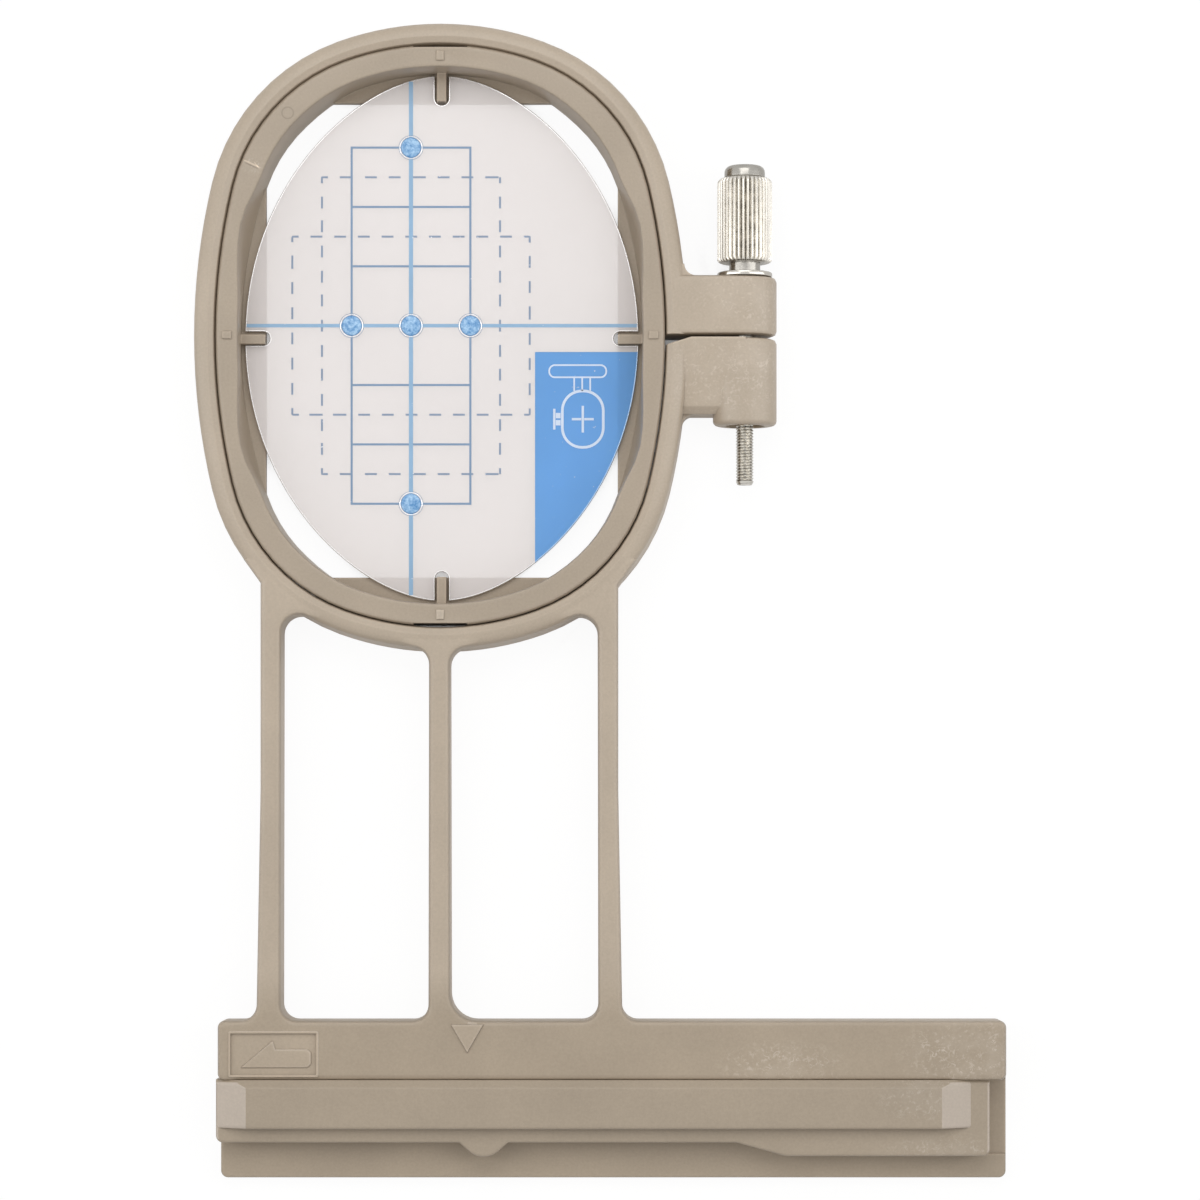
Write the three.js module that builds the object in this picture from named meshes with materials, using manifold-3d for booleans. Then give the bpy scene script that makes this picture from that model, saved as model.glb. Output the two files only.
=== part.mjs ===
// Machine embroidery hoop: a split outer ring carried by three arms on a slide-on connector bar,
// with its inner ring, clear template sheet and knurled clamp screw.
// Millimetres, +Z up, +Y from the bar to the ring. The sizes below are taken from the ring's centre.

import * as THREE from 'three';
import { mergeVertices } from 'three/addons/utils/BufferGeometryUtils.js';
import Module from 'manifold-3d';

const wasm = await Module();
wasm.setup();

// Parting oval, midway in the gap between the two rings: three tangent arcs in each quarter
const ovalHalfWidth = 37.5;
const ovalHalfLength = 48.5;
const sideArcRadius = 107;
const endArcRadius = 47;
const cornerArcRadius = 29.4;
const ringGap = 0.3;

// Outer ring
const ringHeight = 10;
const outerWall = 3.55;
const outerDraft = 0.3;
const outerCrown = 0.2;
const outerEdgeRound = 1.6;
const outerEdgeRun = 2.3;
const outerBoreRound = 0.9;
const footChamfer = 0.4;

// Inner ring, with the tabs and locating ribs that carry the template
const innerWallTop = 3.57;
const innerWallFoot = 3.5;
const innerCornerTop = 0.4;
const innerCornerFoot = 0.85;
const innerEdgeRound = 0.5;
const innerFootLift = 0.4;
const tabThickness = 1.5;
const tabSideReach = 4.2;
const tabEndReach = 4.85;
const ribWidth = 1.3;
const ribRise = 1.3;
const gripFlatWidth = 9;
const gripFlatDepth = 0.45;
const sideRelief = 1.3;
const reliefWaist = 0.35;
const reliefWaistHeight = 4.5;
const tickLength = 1.5;
const tickWidth = 1;
const tickRise = 0.25;

// Bands of the oval's direction, in degrees from its sides, where the inner wall changes
const cornerBand = { from: 3, full: 18, fade: 45, to: 80 };
const reliefBand = { from: 2.5, full: 10.2, fade: 10.4, to: 14.8 };

// Template sheet
const sheetThickness = 0.8;
const sheetSideClearance = 0.65;
const sheetEndClearance = 0.5;
const sheetSeatClearance = 0.1;
const sheetRest = 0.25;
const sheetTopHandle = 13.2;
const sheetSideHandle = 27;
const slotWidth = 2.3;
const slotEndClearance = 0.7;

// Arms between the ring and the bar
const armHeight = 9.8;
const armPitch = 28.15;
const armRowCentre = -0.17;
const armWidthTop = 3.45;
const armWidthFoot = 3.65;
const armLean = 0.2;
const armFlare = 0.35;
const armFlareStart = 76;
const armRootFillet = 3;
const armFootFillet = 2.7;
const armKeyFillet = 4.5;
const gussetAngle = 35.6;
const plateEdgeRound = 1;

// Connector bar
const barDistance = 114.4;
const barLeftReach = 37.2;
const barLength = 131.7;
const bandDepth = 10;
const barDepth = 26.7;
const basePlateOverhang = 0.5;
const barCornerRadius = 1.2;
const basePlateThickness = 3;
const basePlateEdge = 0.4;
const bandWall = 2;
const bandPocketCount = 8;
const endRecessDepth = 0.5;

// Moulded marks on the bar
const markDepth = 0.45;
const markEdge = 0.25;
const triangleCentre = 4.5;
const triangleWidth = 5.4;
const triangleLength = 4.7;
const markMargin = 0.6;
const panelWidth = 14.3;
const panelDepth = 6.9;
const panelFromEnd = 2.2;
const panelFromEdge = 2.1;
const panelRim = 0.4;
const panelRimRise = 0.12;
const arrowTipInset = 1.7;
const arrowTailInset = 0.85;
const arrowBaseInset = 1.2;
const arrowSink = 0.1;
const arrowHeadLength = 5.3;
const arrowHeadSlant = 0.5;
const arrowHeadDepth = 4.5;
const arrowTailDepth = 3.1;
const arrowTailChamfer = 0.6;

// Guide rail that slides into the machine's carriage
const guideOverhang = 0.35;
const guideJointGap = 0.1;
const guideEndInset = 2.7;
const flangeTop = 8.6;
const flangeNarrow = 10.3;
const flangeWide = 12.55;
const flangeEdge = 0.4;
const rampStart = 49.5;
const rampLength = 8.1;
const clickCentre = 7.2;
const clickHalfWidth = 4.1;
const clickDepth = 2.4;
const clickTipRadius = 3.6;
const railRise = 2.4;
const railDepth = 7.9;
const railLeftInset = 0.2;
const railRightInset = 3.2;
const railSlopeRun = 5;
const railEdge = 0.45;
const railBackChamfer = 1;
const guideWall = 1.8;
const guideBossRadius = 2.9;

// Self-tapping screws that hold the guide rail from below
const guideScrewCount = 4;
const guideScrewMargin = 12;
const guideScrewRadius = 1.3;
const guideScrewTipRadius = 0.45;
const guideScrewHeadRadius = 2.5;
const guideScrewHeadDepth = 1.4;
const guideScrewLength = 7;
const guideScrewSink = 0.2;
const screwClearance = 0.2;
const threadClearance = 0.05;

// Clamp ears on the split of the outer ring
const clampReach = 9.75;
const clampAxisHeight = 5.1;
const earRadius = 4.8;
const earReach = 5.35;
const earEdgeRound = 0.8;
const upperEarDepth = 9.85;
const lowerEarDepth = 12.65;
const bossDepth = 14.55;
const splitGap = 0.5;
const lowerEarFall = 1.8;
const lowerEarChamfer = 1.2;
const earFillet = 1.9;
const splitMouthWidth = 1.5;
const splitMouthLength = 4.4;

// Clamp screw, its knurled grip, washer and captive nut
const studRadius = 1.5;
const studPlay = 0.3;
const studProtrusion = 9.85;
const studTipLength = 0.6;
const washerRadius = 4.6;
const washerThickness = 0.8;
const washerSeat = 0.05;
const neckRadius = 2.6;
const neckLength = 1.6;
const gripRadius = 4.6;
const gripLength = 14.2;
const gripEndRound = 0.7;
const flutes = 36;
const fluteDepth = 0.3;
const ridgeShare = 0.3;
const coreRadius = 2.5;
const pressClearance = 0.04;
const capRadius = 3.4;
const capLength = 2.1;
const capChamfer = 0.35;
const nutRadius = 2.8;
const nutLength = 7;
const nutRecess = 1.5;
const nutMouthRadius = 3.3;
const nutChamfer = 0.3;

// Facets
const sideSteps = 8;
const cornerSteps = 10;
const endSteps = 8;
const filletSteps = 5;
const edgeSteps = 2;
const roundSteps = 3;
const crownSteps = 4;
const turnSteps = 32;
const smallTurnSteps = 16;

// Allowances for joining and cutting solids
const overCut = 1;
const rootSink = 0.5;
const weldDistance = 1e-4;

// Materials
const mouldedTaupe = { color: 0xb5a692, roughness: 0.55, metalness: 0 };
const clearSheet = { color: 0xe9e4e4, roughness: 0.2, metalness: 0, transparent: true, opacity: 0.6 };
const nickelPlate = { color: 0xcfccc6, roughness: 0.25, metalness: 1 };
const zincSteel = { color: 0xb9bbbd, roughness: 0.35, metalness: 1 };
const brass = { color: 0xc2a15c, roughness: 0.35, metalness: 1 };

// Solids
function toSolid(geometry) {
  const bare = geometry.index ? geometry.toNonIndexed() : geometry.clone();
  for (const name of Object.keys(bare.attributes)) {
    if (name !== 'position') bare.deleteAttribute(name);
  }
  const merged = mergeVertices(bare, weldDistance);
  const corners = merged.index.array;
  const kept = [];
  for (let i = 0; i < corners.length; i += 3) {
    const [a, b, c] = corners.slice(i, i + 3);
    if (a !== b && b !== c && c !== a) kept.push(a, b, c);
  }
  return new wasm.Manifold(new wasm.Mesh({
    numProp: 3,
    vertProperties: new Float32Array(merged.attributes.position.array),
    triVerts: new Uint32Array(kept),
  }));
}

function toGeometry(solid) {
  const { vertProperties, triVerts, numProp } = solid.getMesh();
  const positions = new Float32Array((vertProperties.length / numProp) * 3);
  for (let i = 0; i < positions.length / 3; i++) {
    for (let k = 0; k < 3; k++) positions[3 * i + k] = vertProperties[numProp * i + k];
  }
  const geometry = new THREE.BufferGeometry();
  geometry.setAttribute('position', new THREE.BufferAttribute(positions, 3));
  geometry.setIndex(new THREE.BufferAttribute(new Uint32Array(triVerts), 1));
  geometry.computeVertexNormals();
  return geometry;
}

const join = (...solids) => solids.reduce((sum, solid) => sum.add(solid));
const cut = (body, ...tools) => tools.reduce((rest, tool) => rest.subtract(tool), body);

// Extrusions with rounded edges of the given radius, from one level to another
function extrude(shape, from, to, edge) {
  const geometry = new THREE.ExtrudeGeometry(shape, {
    depth: to - from - 2 * edge,
    curveSegments: filletSteps,
    bevelEnabled: edge > 0,
    bevelThickness: edge,
    bevelSize: edge,
    bevelOffset: -edge,
    bevelSegments: edgeSteps,
  });
  return geometry.translate(0, 0, from + edge);
}

const xAxis = new THREE.Vector3(1, 0, 0);
const yAxis = new THREE.Vector3(0, 1, 0);
const zAxis = new THREE.Vector3(0, 0, 1);
const standAlongX = new THREE.Matrix4().makeBasis(yAxis, zAxis, xAxis);
const standAlongY = new THREE.Matrix4().makeBasis(zAxis, xAxis, yAxis);

const upward = (shape, from, to, edge = 0) => toSolid(extrude(shape, from, to, edge));

// The section is drawn in Y and Z and runs along X
function alongX(shape, from, to, edge = 0) {
  return toSolid(extrude(shape, from, to, edge).applyMatrix4(standAlongX));
}

// The section is drawn in Z and X and runs along Y
function alongY(shape, from, to, edge = 0) {
  return toSolid(extrude(shape, from, to, edge).applyMatrix4(standAlongY));
}

function block(x0, x1, y0, y1, z0, z1) {
  const geometry = new THREE.BoxGeometry(x1 - x0, y1 - y0, z1 - z0);
  return toSolid(geometry.translate((x0 + x1) / 2, (y0 + y1) / 2, (z0 + z1) / 2));
}

function polygon(...corners) {
  return new THREE.Shape(corners.map(([u, v]) => new THREE.Vector2(u, v)));
}

function roundedRectangle(x0, x1, y0, y1, radius) {
  const shape = new THREE.Shape();
  shape.absarc(x0 + radius, y0 + radius, radius, Math.PI, 1.5 * Math.PI);
  shape.absarc(x1 - radius, y0 + radius, radius, 1.5 * Math.PI, 2 * Math.PI);
  shape.absarc(x1 - radius, y1 - radius, radius, 0, 0.5 * Math.PI);
  shape.absarc(x0 + radius, y1 - radius, radius, 0.5 * Math.PI, Math.PI);
  return shape;
}

// A turned piece on the Y axis, from a profile of [radius, y] points
function turned(...profile) {
  const points = profile.map(([r, y]) => new THREE.Vector2(r, y));
  return toSolid(new THREE.LatheGeometry(points, turnSteps));
}

const rod = (radius, y0, y1) => turned([0, y0], [radius, y0], [radius, y1], [0, y1]);

// Parting oval
function ovalArcs() {
  const side = new THREE.Vector2(ovalHalfWidth - sideArcRadius, 0);
  const end = new THREE.Vector2(0, ovalHalfLength - endArcRadius);
  const sideReach = sideArcRadius - cornerArcRadius;
  const endReach = endArcRadius - cornerArcRadius;
  const between = end.clone().sub(side);
  const span = between.length();
  const along = (sideReach ** 2 - endReach ** 2 + span ** 2) / (2 * span);
  const across = Math.sqrt(sideReach ** 2 - along ** 2);
  const unit = between.normalize();
  const corner = new THREE.Vector2(
    side.x + along * unit.x - across * unit.y,
    side.y + along * unit.y + across * unit.x,
  );
  const sideEnd = Math.atan2(corner.y - side.y, corner.x - side.x);
  const endStart = Math.atan2(corner.y - end.y, corner.x - end.x);
  return { side, corner, end, sideEnd, endStart };
}

const oval = ovalArcs();

function arcStations(centre, radius, from, to, steps) {
  return Array.from({ length: steps }, (_, i) => {
    const angle = from + ((to - from) * i) / steps;
    const normal = new THREE.Vector2(Math.cos(angle), Math.sin(angle));
    return { point: normal.clone().multiplyScalar(radius).add(centre), normal };
  });
}

function ovalStations() {
  const quarter = [
    ...arcStations(oval.side, sideArcRadius, 0, oval.sideEnd, sideSteps),
    ...arcStations(oval.corner, cornerArcRadius, oval.sideEnd, oval.endStart, cornerSteps),
    ...arcStations(oval.end, endArcRadius, oval.endStart, Math.PI / 2, endSteps),
    { point: new THREE.Vector2(0, ovalHalfLength), normal: new THREE.Vector2(0, 1) },
  ];
  const flip = (station, sx, sy) => ({
    point: new THREE.Vector2(station.point.x * sx, station.point.y * sy),
    normal: new THREE.Vector2(station.normal.x * sx, station.normal.y * sy),
  });
  const up = quarter.slice(0, -1);
  const down = quarter.slice(1).reverse();
  return [
    ...up,
    ...down.map((station) => flip(station, -1, 1)),
    ...up.map((station) => flip(station, -1, -1)),
    ...down.map((station) => flip(station, 1, -1)),
  ];
}

const stations = ovalStations();

function ovalShape(offset) {
  const moved = ({ point, normal }) => normal.clone().multiplyScalar(offset).add(point);
  return new THREE.Shape(stations.map(moved));
}

// A closed section of [offset, z] points, counter-clockwise, carried round the oval station by station
function ovalSweep(sectionAt) {
  const sections = stations.map(sectionAt);
  const positions = [];
  stations.forEach(({ point, normal }, i) => {
    for (const [offset, z] of sections[i]) {
      positions.push(point.x + offset * normal.x, point.y + offset * normal.y, z);
    }
  });
  const index = [];
  const rows = stations.length;
  const columns = sections[0].length;
  for (let i = 0; i < rows; i++) {
    for (let j = 0; j < columns; j++) {
      const here = i * columns + j;
      const above = i * columns + ((j + 1) % columns);
      const next = ((i + 1) % rows) * columns + j;
      const nextAbove = ((i + 1) % rows) * columns + ((j + 1) % columns);
      index.push(here, next, above, above, next, nextAbove);
    }
  }
  const geometry = new THREE.BufferGeometry();
  geometry.setAttribute('position', new THREE.Float32BufferAttribute(positions, 3));
  geometry.setIndex(index);
  return toSolid(geometry);
}

// How far a station lies inside a band of the oval's direction: 1 in its middle, 0 outside it
function bandShare({ normal }, { from, full, fade, to }) {
  const { radToDeg, smoothstep } = THREE.MathUtils;
  const angle = radToDeg(Math.atan2(Math.abs(normal.y), Math.abs(normal.x)));
  return smoothstep(angle, from, full) * (1 - smoothstep(angle, fade, to));
}

// Quarter-round points of a section, about a centre, from one angle to another in quarter turns
function quarterRound(u, v, radius, from, steps, height = radius) {
  return Array.from({ length: steps + 1 }, (_, i) => {
    const angle = (from + i / steps) * (Math.PI / 2);
    return [u + radius * Math.cos(angle), v + height * Math.sin(angle)];
  });
}

// The oval at an offset, below a given x: its y, and the centre of the arc that it lies on
function ovalBelow(x, offset) {
  const endRadius = endArcRadius + offset;
  if (Math.abs(x) <= endRadius * Math.cos(oval.endStart)) {
    const end = new THREE.Vector2(0, -oval.end.y);
    return { y: end.y - Math.sqrt(endRadius ** 2 - x ** 2), centre: end };
  }
  const centre = new THREE.Vector2(Math.sign(x) * oval.corner.x, -oval.corner.y);
  const radius = cornerArcRadius + offset;
  return { y: centre.y - Math.sqrt(radius ** 2 - (x - centre.x) ** 2), centre };
}

// The right side of the oval at an offset, at a given y within the side arc
const ovalBeside = (y, offset) => oval.side.x + Math.sqrt((sideArcRadius + offset) ** 2 - y ** 2);

// Levels and lines shared by several pieces
const outerBore = ringGap / 2;
const outerEdge = outerBore + outerWall;
const outerMidWall = outerBore + outerWall / 2;
const ringReach = ovalHalfWidth + outerEdge;
const innerOutside = -ringGap / 2;
const innerInsideTop = innerOutside - innerWallTop;
const innerInsideFoot = innerOutside - innerWallFoot;
const tabTop = innerFootLift + tabThickness;
const tabWindowHalfWidth = ovalHalfWidth + innerInsideFoot - tabSideReach;
const tabWindowHalfLength = ovalHalfLength + innerInsideFoot - tabEndReach;
const sheetBottom = tabTop + sheetSeatClearance;
const sheetTop = sheetBottom + sheetThickness;
const barTop = -barDistance;
const bandLower = barTop - bandDepth;
const barLower = barTop - barDepth;
const barLeft = -barLeftReach;
const barRight = barLeft + barLength;
const guideTop = bandLower - guideJointGap;
const guideLeft = barLeft - guideOverhang;
const guideRight = barRight - guideEndInset;
const railTop = flangeTop + railRise;
const guideScrewLine = guideTop - railDepth / 2;
const clampX = ringReach + clampReach;
const splitHalf = splitGap / 2;
const earTop = splitHalf + upperEarDepth;
const webBottom = -splitHalf - lowerEarDepth;
const bossBottom = -splitHalf - bossDepth;
const nutBottom = bossBottom + nutRecess;
const nutTop = nutBottom + nutLength;
const studBore = studRadius + studPlay;
const washerBottom = earTop + washerSeat;
const washerTop = washerBottom + washerThickness;
const neckBottom = washerTop + washerSeat;
const gripBottom = neckBottom + neckLength;
const gripTop = gripBottom + gripLength;
const studTip = bossBottom - studProtrusion;

// A solid turned about the Y axis, moved onto the clamp screw's axis
const onClampAxis = (solid) => solid.translate([clampX, 0, clampAxisHeight]);

// Outer ring, with a crowned top that rounds into the gap
function outerRing() {
  const crownFoot = ringHeight - outerCrown;
  const run = outerEdgeRun;
  const edge = outerEdgeRound;
  const bore = outerBoreRound;
  return ovalSweep(() => [
    [outerBore, footChamfer],
    [outerBore + footChamfer, 0],
    [outerEdge + outerDraft - footChamfer, 0],
    [outerEdge + outerDraft, footChamfer],
    ...quarterRound(outerEdge - run, ringHeight - edge, run, 0, crownSteps, edge),
    ...quarterRound(outerBore + bore, crownFoot - bore, bore, 1, edgeSteps),
  ]);
}

// Arms and the upper band of the bar, as one plate with two windows
function armEdges(number) {
  const centre = armRowCentre + (number - 1) * armPitch;
  const foot = centre + (number - 1) * armLean;
  return {
    leftTop: centre - armWidthTop / 2,
    rightTop: centre + armWidthTop / 2,
    leftFoot: foot - armWidthFoot / 2,
    rightFoot: foot + armWidthFoot / 2,
  };
}

// Where the ring's outline runs straight on into an outer arm
function gusset(side, armEdge) {
  const angle = THREE.MathUtils.degToRad(gussetAngle);
  const radial = new THREE.Vector2(side * Math.cos(angle), -Math.sin(angle));
  const tangent = new THREE.Vector2(-side * Math.sin(angle), -Math.cos(angle));
  const centre = new THREE.Vector2(side * oval.corner.x, -oval.corner.y);
  const leave = radial.clone().multiplyScalar(cornerArcRadius + outerEdge).add(centre);
  const inside = radial.clone().multiplyScalar(cornerArcRadius + outerMidWall).add(centre);
  const run = (armEdge - leave.x) / tangent.x;
  const meet = tangent.clone().multiplyScalar(run).add(leave);
  return { inside, leave, meet };
}

function windowPath(leftArm, rightArm, leftFootFillet, rightFootFillet) {
  const rootLeftX = leftArm.rightTop + armRootFillet;
  const rootRightX = rightArm.leftTop - armRootFillet;
  const rootLeft = ovalBelow(rootLeftX, outerEdge + armRootFillet);
  const rootRight = ovalBelow(rootRightX, outerEdge + armRootFillet);
  const touchLeft = Math.atan2(rootLeft.centre.y - rootLeft.y, rootLeft.centre.x - rootLeftX);
  const touchRight = Math.atan2(rootRight.centre.y - rootRight.y, rootRight.centre.x - rootRightX);
  const path = new THREE.Path();
  path.absarc(leftArm.rightFoot + leftFootFillet, barTop + leftFootFillet, leftFootFillet,
    Math.PI, 1.5 * Math.PI);
  path.absarc(rightArm.leftFoot - rightFootFillet, barTop + rightFootFillet, rightFootFillet,
    1.5 * Math.PI, 2 * Math.PI);
  path.absarc(rootRightX, rootRight.y, armRootFillet, 0, touchRight);
  path.absarc(rootLeftX, rootLeft.y, armRootFillet, touchLeft, Math.PI);
  return path;
}

function armPlate() {
  const [left, middle, right] = [0, 1, 2].map(armEdges);
  const leftGusset = gusset(-1, left.leftTop);
  const rightGusset = gusset(1, right.rightTop);
  const r = barCornerRadius;
  const f = armFootFillet;
  const shape = new THREE.Shape();
  shape.moveTo(leftGusset.inside.x, leftGusset.inside.y);
  shape.lineTo(leftGusset.leave.x, leftGusset.leave.y);
  shape.lineTo(leftGusset.meet.x, leftGusset.meet.y);
  shape.lineTo(left.leftTop, -armFlareStart);
  shape.absarc(left.leftFoot - armFlare - f, barTop + f, f, 0, -0.5 * Math.PI, true);
  shape.absarc(barLeft + r, barTop - r, r, 0.5 * Math.PI, Math.PI);
  shape.absarc(barLeft + r, bandLower + r, r, Math.PI, 1.5 * Math.PI);
  shape.absarc(barRight - r, bandLower + r, r, 1.5 * Math.PI, 2 * Math.PI);
  shape.absarc(barRight - r, barTop - r, r, 0, 0.5 * Math.PI);
  shape.absarc(right.rightFoot + armFlare + f, barTop + f, f, -0.5 * Math.PI, -Math.PI, true);
  shape.lineTo(right.rightTop, -armFlareStart);
  shape.lineTo(rightGusset.meet.x, rightGusset.meet.y);
  shape.lineTo(rightGusset.leave.x, rightGusset.leave.y);
  shape.lineTo(rightGusset.inside.x, rightGusset.inside.y);
  shape.holes.push(windowPath(left, middle, armFootFillet, armFootFillet));
  shape.holes.push(windowPath(middle, right, armKeyFillet, armFootFillet));
  const plate = upward(shape, 0, armHeight, plateEdgeRound);
  return cut(plate, upward(ovalShape(outerMidWall), -overCut, armHeight + overCut));
}

// Base plate of the bar, under the band and the guide rail
function basePlate() {
  const upperEdge = bandLower + bandDepth / 2;
  const right = barRight + basePlateOverhang;
  const outline = roundedRectangle(barLeft, right, barLower, upperEdge, barCornerRadius);
  return upward(outline, 0, basePlateThickness, basePlateEdge);
}

// Hollows under the band, parted by ribs
function bandPockets() {
  const pitch = (barLength - bandWall) / bandPocketCount;
  return Array.from({ length: bandPocketCount }, (_, i) => {
    const start = barLeft + bandWall + i * pitch;
    const stop = start + pitch - bandWall;
    const roof = armHeight - bandWall;
    return block(start, stop, bandLower + bandWall, barTop - bandWall, -overCut, roof);
  });
}

// Moulded marks: a raised triangle, and a recessed panel with a raised half arrow
function triangleMark() {
  const top = barTop - markMargin;
  const outline = polygon(
    [triangleCentre - triangleWidth / 2, top],
    [triangleCentre, top - triangleLength],
    [triangleCentre + triangleWidth / 2, top],
  );
  return upward(outline, armHeight - rootSink, armHeight + markDepth, markEdge);
}

const panelLeft = barLeft + panelFromEnd;
const panelRight = panelLeft + panelWidth;
const panelTop = barTop - panelFromEdge;
const panelBottom = panelTop - panelDepth;

function arrowPanel() {
  return block(panelLeft, panelRight, panelBottom, panelTop, armHeight - markDepth, armHeight + overCut);
}

function arrowPanelRim() {
  const outline = roundedRectangle(panelLeft - panelRim, panelRight + panelRim, panelBottom - panelRim,
    panelTop + panelRim, panelRim);
  return upward(outline, armHeight - rootSink, armHeight + panelRimRise, panelRimRise);
}

function halfArrow() {
  const tip = panelLeft + arrowTipInset;
  const tail = panelRight - arrowTailInset;
  const base = panelBottom + arrowBaseInset;
  const outline = polygon(
    [tip, base],
    [tail - arrowTailChamfer, base],
    [tail, base + arrowTailChamfer],
    [tail, base + arrowTailDepth - arrowTailChamfer],
    [tail - arrowTailChamfer, base + arrowTailDepth],
    [tip + arrowHeadLength + arrowHeadSlant, base + arrowTailDepth],
    [tip + arrowHeadLength, base + arrowHeadDepth],
  );
  return upward(outline, armHeight - markDepth - rootSink, armHeight - arrowSink, markEdge);
}

// Clamp ears
function upperEar() {
  const root = ovalBeside(splitHalf, outerMidWall) - rootSink;
  const section = new THREE.Shape();
  section.moveTo(clampAxisHeight + earRadius, root);
  section.lineTo(clampAxisHeight + earRadius, clampX);
  section.absellipse(clampAxisHeight, clampX, earRadius, earReach, 0, Math.PI);
  section.lineTo(clampAxisHeight - earRadius, root);
  return alongY(section, splitHalf, earTop, earEdgeRound);
}

function lowerEar() {
  const root = ovalBeside(webBottom, outerMidWall) - rootSink;
  const low = clampAxisHeight - earRadius;
  const high = clampAxisHeight + earRadius;
  const web = polygon(
    [-splitHalf, low],
    [-splitHalf, high],
    [webBottom + lowerEarChamfer, high - lowerEarFall],
    [webBottom, high - lowerEarFall - lowerEarChamfer],
    [webBottom, low],
  );
  const boss = turned(
    [0, bossBottom],
    ...quarterRound(earRadius - earEdgeRound, bossBottom + earEdgeRound, earEdgeRound, 3, roundSteps),
    ...quarterRound(earRadius - earEdgeRound, -splitHalf - earEdgeRound, earEdgeRound, 0, edgeSteps),
    [0, -splitHalf],
  ).scale([earReach / earRadius, 1, 1]);
  return join(alongX(web, root, clampX), onClampAxis(boss));
}

// Concave corner between an ear and the ring's outer wall
function earCorner(edge, side, high) {
  const wall = ovalBeside(edge, outerEdge);
  const shape = new THREE.Shape();
  shape.moveTo(wall - rootSink, edge - side * rootSink);
  shape.lineTo(wall + earFillet, edge - side * rootSink);
  shape.absarc(wall + earFillet, edge + side * earFillet, earFillet, -side * 0.5 * Math.PI,
    -side * Math.PI, side > 0);
  shape.lineTo(wall - rootSink, edge + side * earFillet);
  return upward(shape, clampAxisHeight - earRadius + earEdgeRound, high - earEdgeRound);
}

function clampSplit() {
  const inside = ovalHalfWidth - rootSink;
  const outside = clampX + earReach + overCut;
  const slit = block(inside, outside, -splitHalf, splitHalf, -overCut, ringHeight + overCut);
  const mouth = polygon(
    [inside, splitHalf],
    [inside, -splitHalf - splitMouthWidth],
    [inside + rootSink + splitMouthLength, -splitHalf],
    [inside + rootSink + splitMouthLength, splitHalf],
  );
  return join(slit, upward(mouth, -overCut, ringHeight + overCut));
}

function clampBores() {
  const stud = rod(studBore, bossBottom - overCut, earTop + overCut);
  const nut = rod(nutRadius + pressClearance, bossBottom - overCut, nutTop);
  const mouth = rod(nutMouthRadius, bossBottom - overCut, nutBottom);
  return [stud, nut, mouth].map(onClampAxis);
}

// Holes in the base plate for the guide rail's screws, countersunk from below
function guideScrewPlaces() {
  const first = guideLeft + guideScrewMargin;
  const last = guideRight - guideScrewMargin;
  const pitch = (last - first) / (guideScrewCount - 1);
  return Array.from({ length: guideScrewCount }, (_, i) => first + i * pitch);
}

const standUp = new THREE.Matrix4().makeRotationX(Math.PI / 2);

// A piece turned about a vertical axis at a guide screw's place, from [radius, z] points
function turnedAtGuideScrew(x, ...profile) {
  const points = profile.map(([r, z]) => new THREE.Vector2(r, z));
  const geometry = new THREE.LatheGeometry(points, smallTurnSteps).applyMatrix4(standUp);
  return toSolid(geometry.translate(x, guideScrewLine, 0));
}

function guideScrewHole(x) {
  const shank = guideScrewRadius + screwClearance;
  const head = guideScrewHeadRadius + screwClearance;
  const coneTop = guideScrewSink + guideScrewHeadDepth + screwClearance;
  const mouth = guideScrewSink + screwClearance;
  const top = basePlateThickness + overCut;
  return turnedAtGuideScrew(x, [0, -overCut], [head, -overCut], [head, mouth], [shank, coneTop],
    [shank, top], [0, top]);
}

function outerFrame() {
  const earHigh = clampAxisHeight + earRadius;
  const webHigh = earHigh - lowerEarFall - lowerEarChamfer;
  const endRecess = block(guideRight, barRight + overCut, guideTop - flangeWide, bandLower,
    basePlateThickness - endRecessDepth, flangeTop);
  const body = join(
    outerRing(),
    armPlate(),
    cut(join(upperEar(), lowerEar(), earCorner(earTop, 1, earHigh), earCorner(webBottom, -1, webHigh)),
      upward(ovalShape(outerMidWall), -overCut, ringHeight + overCut)),
    basePlate(),
    triangleMark(),
    arrowPanelRim(),
  );
  const marked = join(cut(body, arrowPanel()), halfArrow());
  return cut(marked, clampSplit(), ...clampBores(), ...bandPockets(), endRecess,
    ...guideScrewPlaces().map(guideScrewHole));
}

// Guide rail: a flange with a click bump and a ramp on its edge, and the raised rail on top
function flangeOutline() {
  const narrow = guideTop - flangeNarrow;
  const wide = guideTop - flangeWide;
  const r = barCornerRadius;
  const shape = new THREE.Shape();
  shape.moveTo(guideRight, guideTop);
  shape.lineTo(guideLeft, guideTop);
  shape.absarc(guideLeft + r, narrow + r, r, Math.PI, 1.5 * Math.PI);
  shape.lineTo(clickCentre - clickHalfWidth, narrow);
  const tipDrop = clickDepth - clickTipRadius;
  const tipReach = Math.hypot(clickHalfWidth, tipDrop);
  const tipAngle = Math.atan2(tipDrop, clickHalfWidth) + Math.asin(clickTipRadius / tipReach);
  shape.absarc(clickCentre, narrow - tipDrop, clickTipRadius, 1.5 * Math.PI - tipAngle,
    1.5 * Math.PI + tipAngle);
  shape.lineTo(clickCentre + clickHalfWidth, narrow);
  shape.lineTo(rampStart, narrow);
  shape.lineTo(rampStart + rampLength, wide);
  shape.absarc(guideRight - r, wide + r, r, 1.5 * Math.PI, 2 * Math.PI);
  return shape;
}

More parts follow.
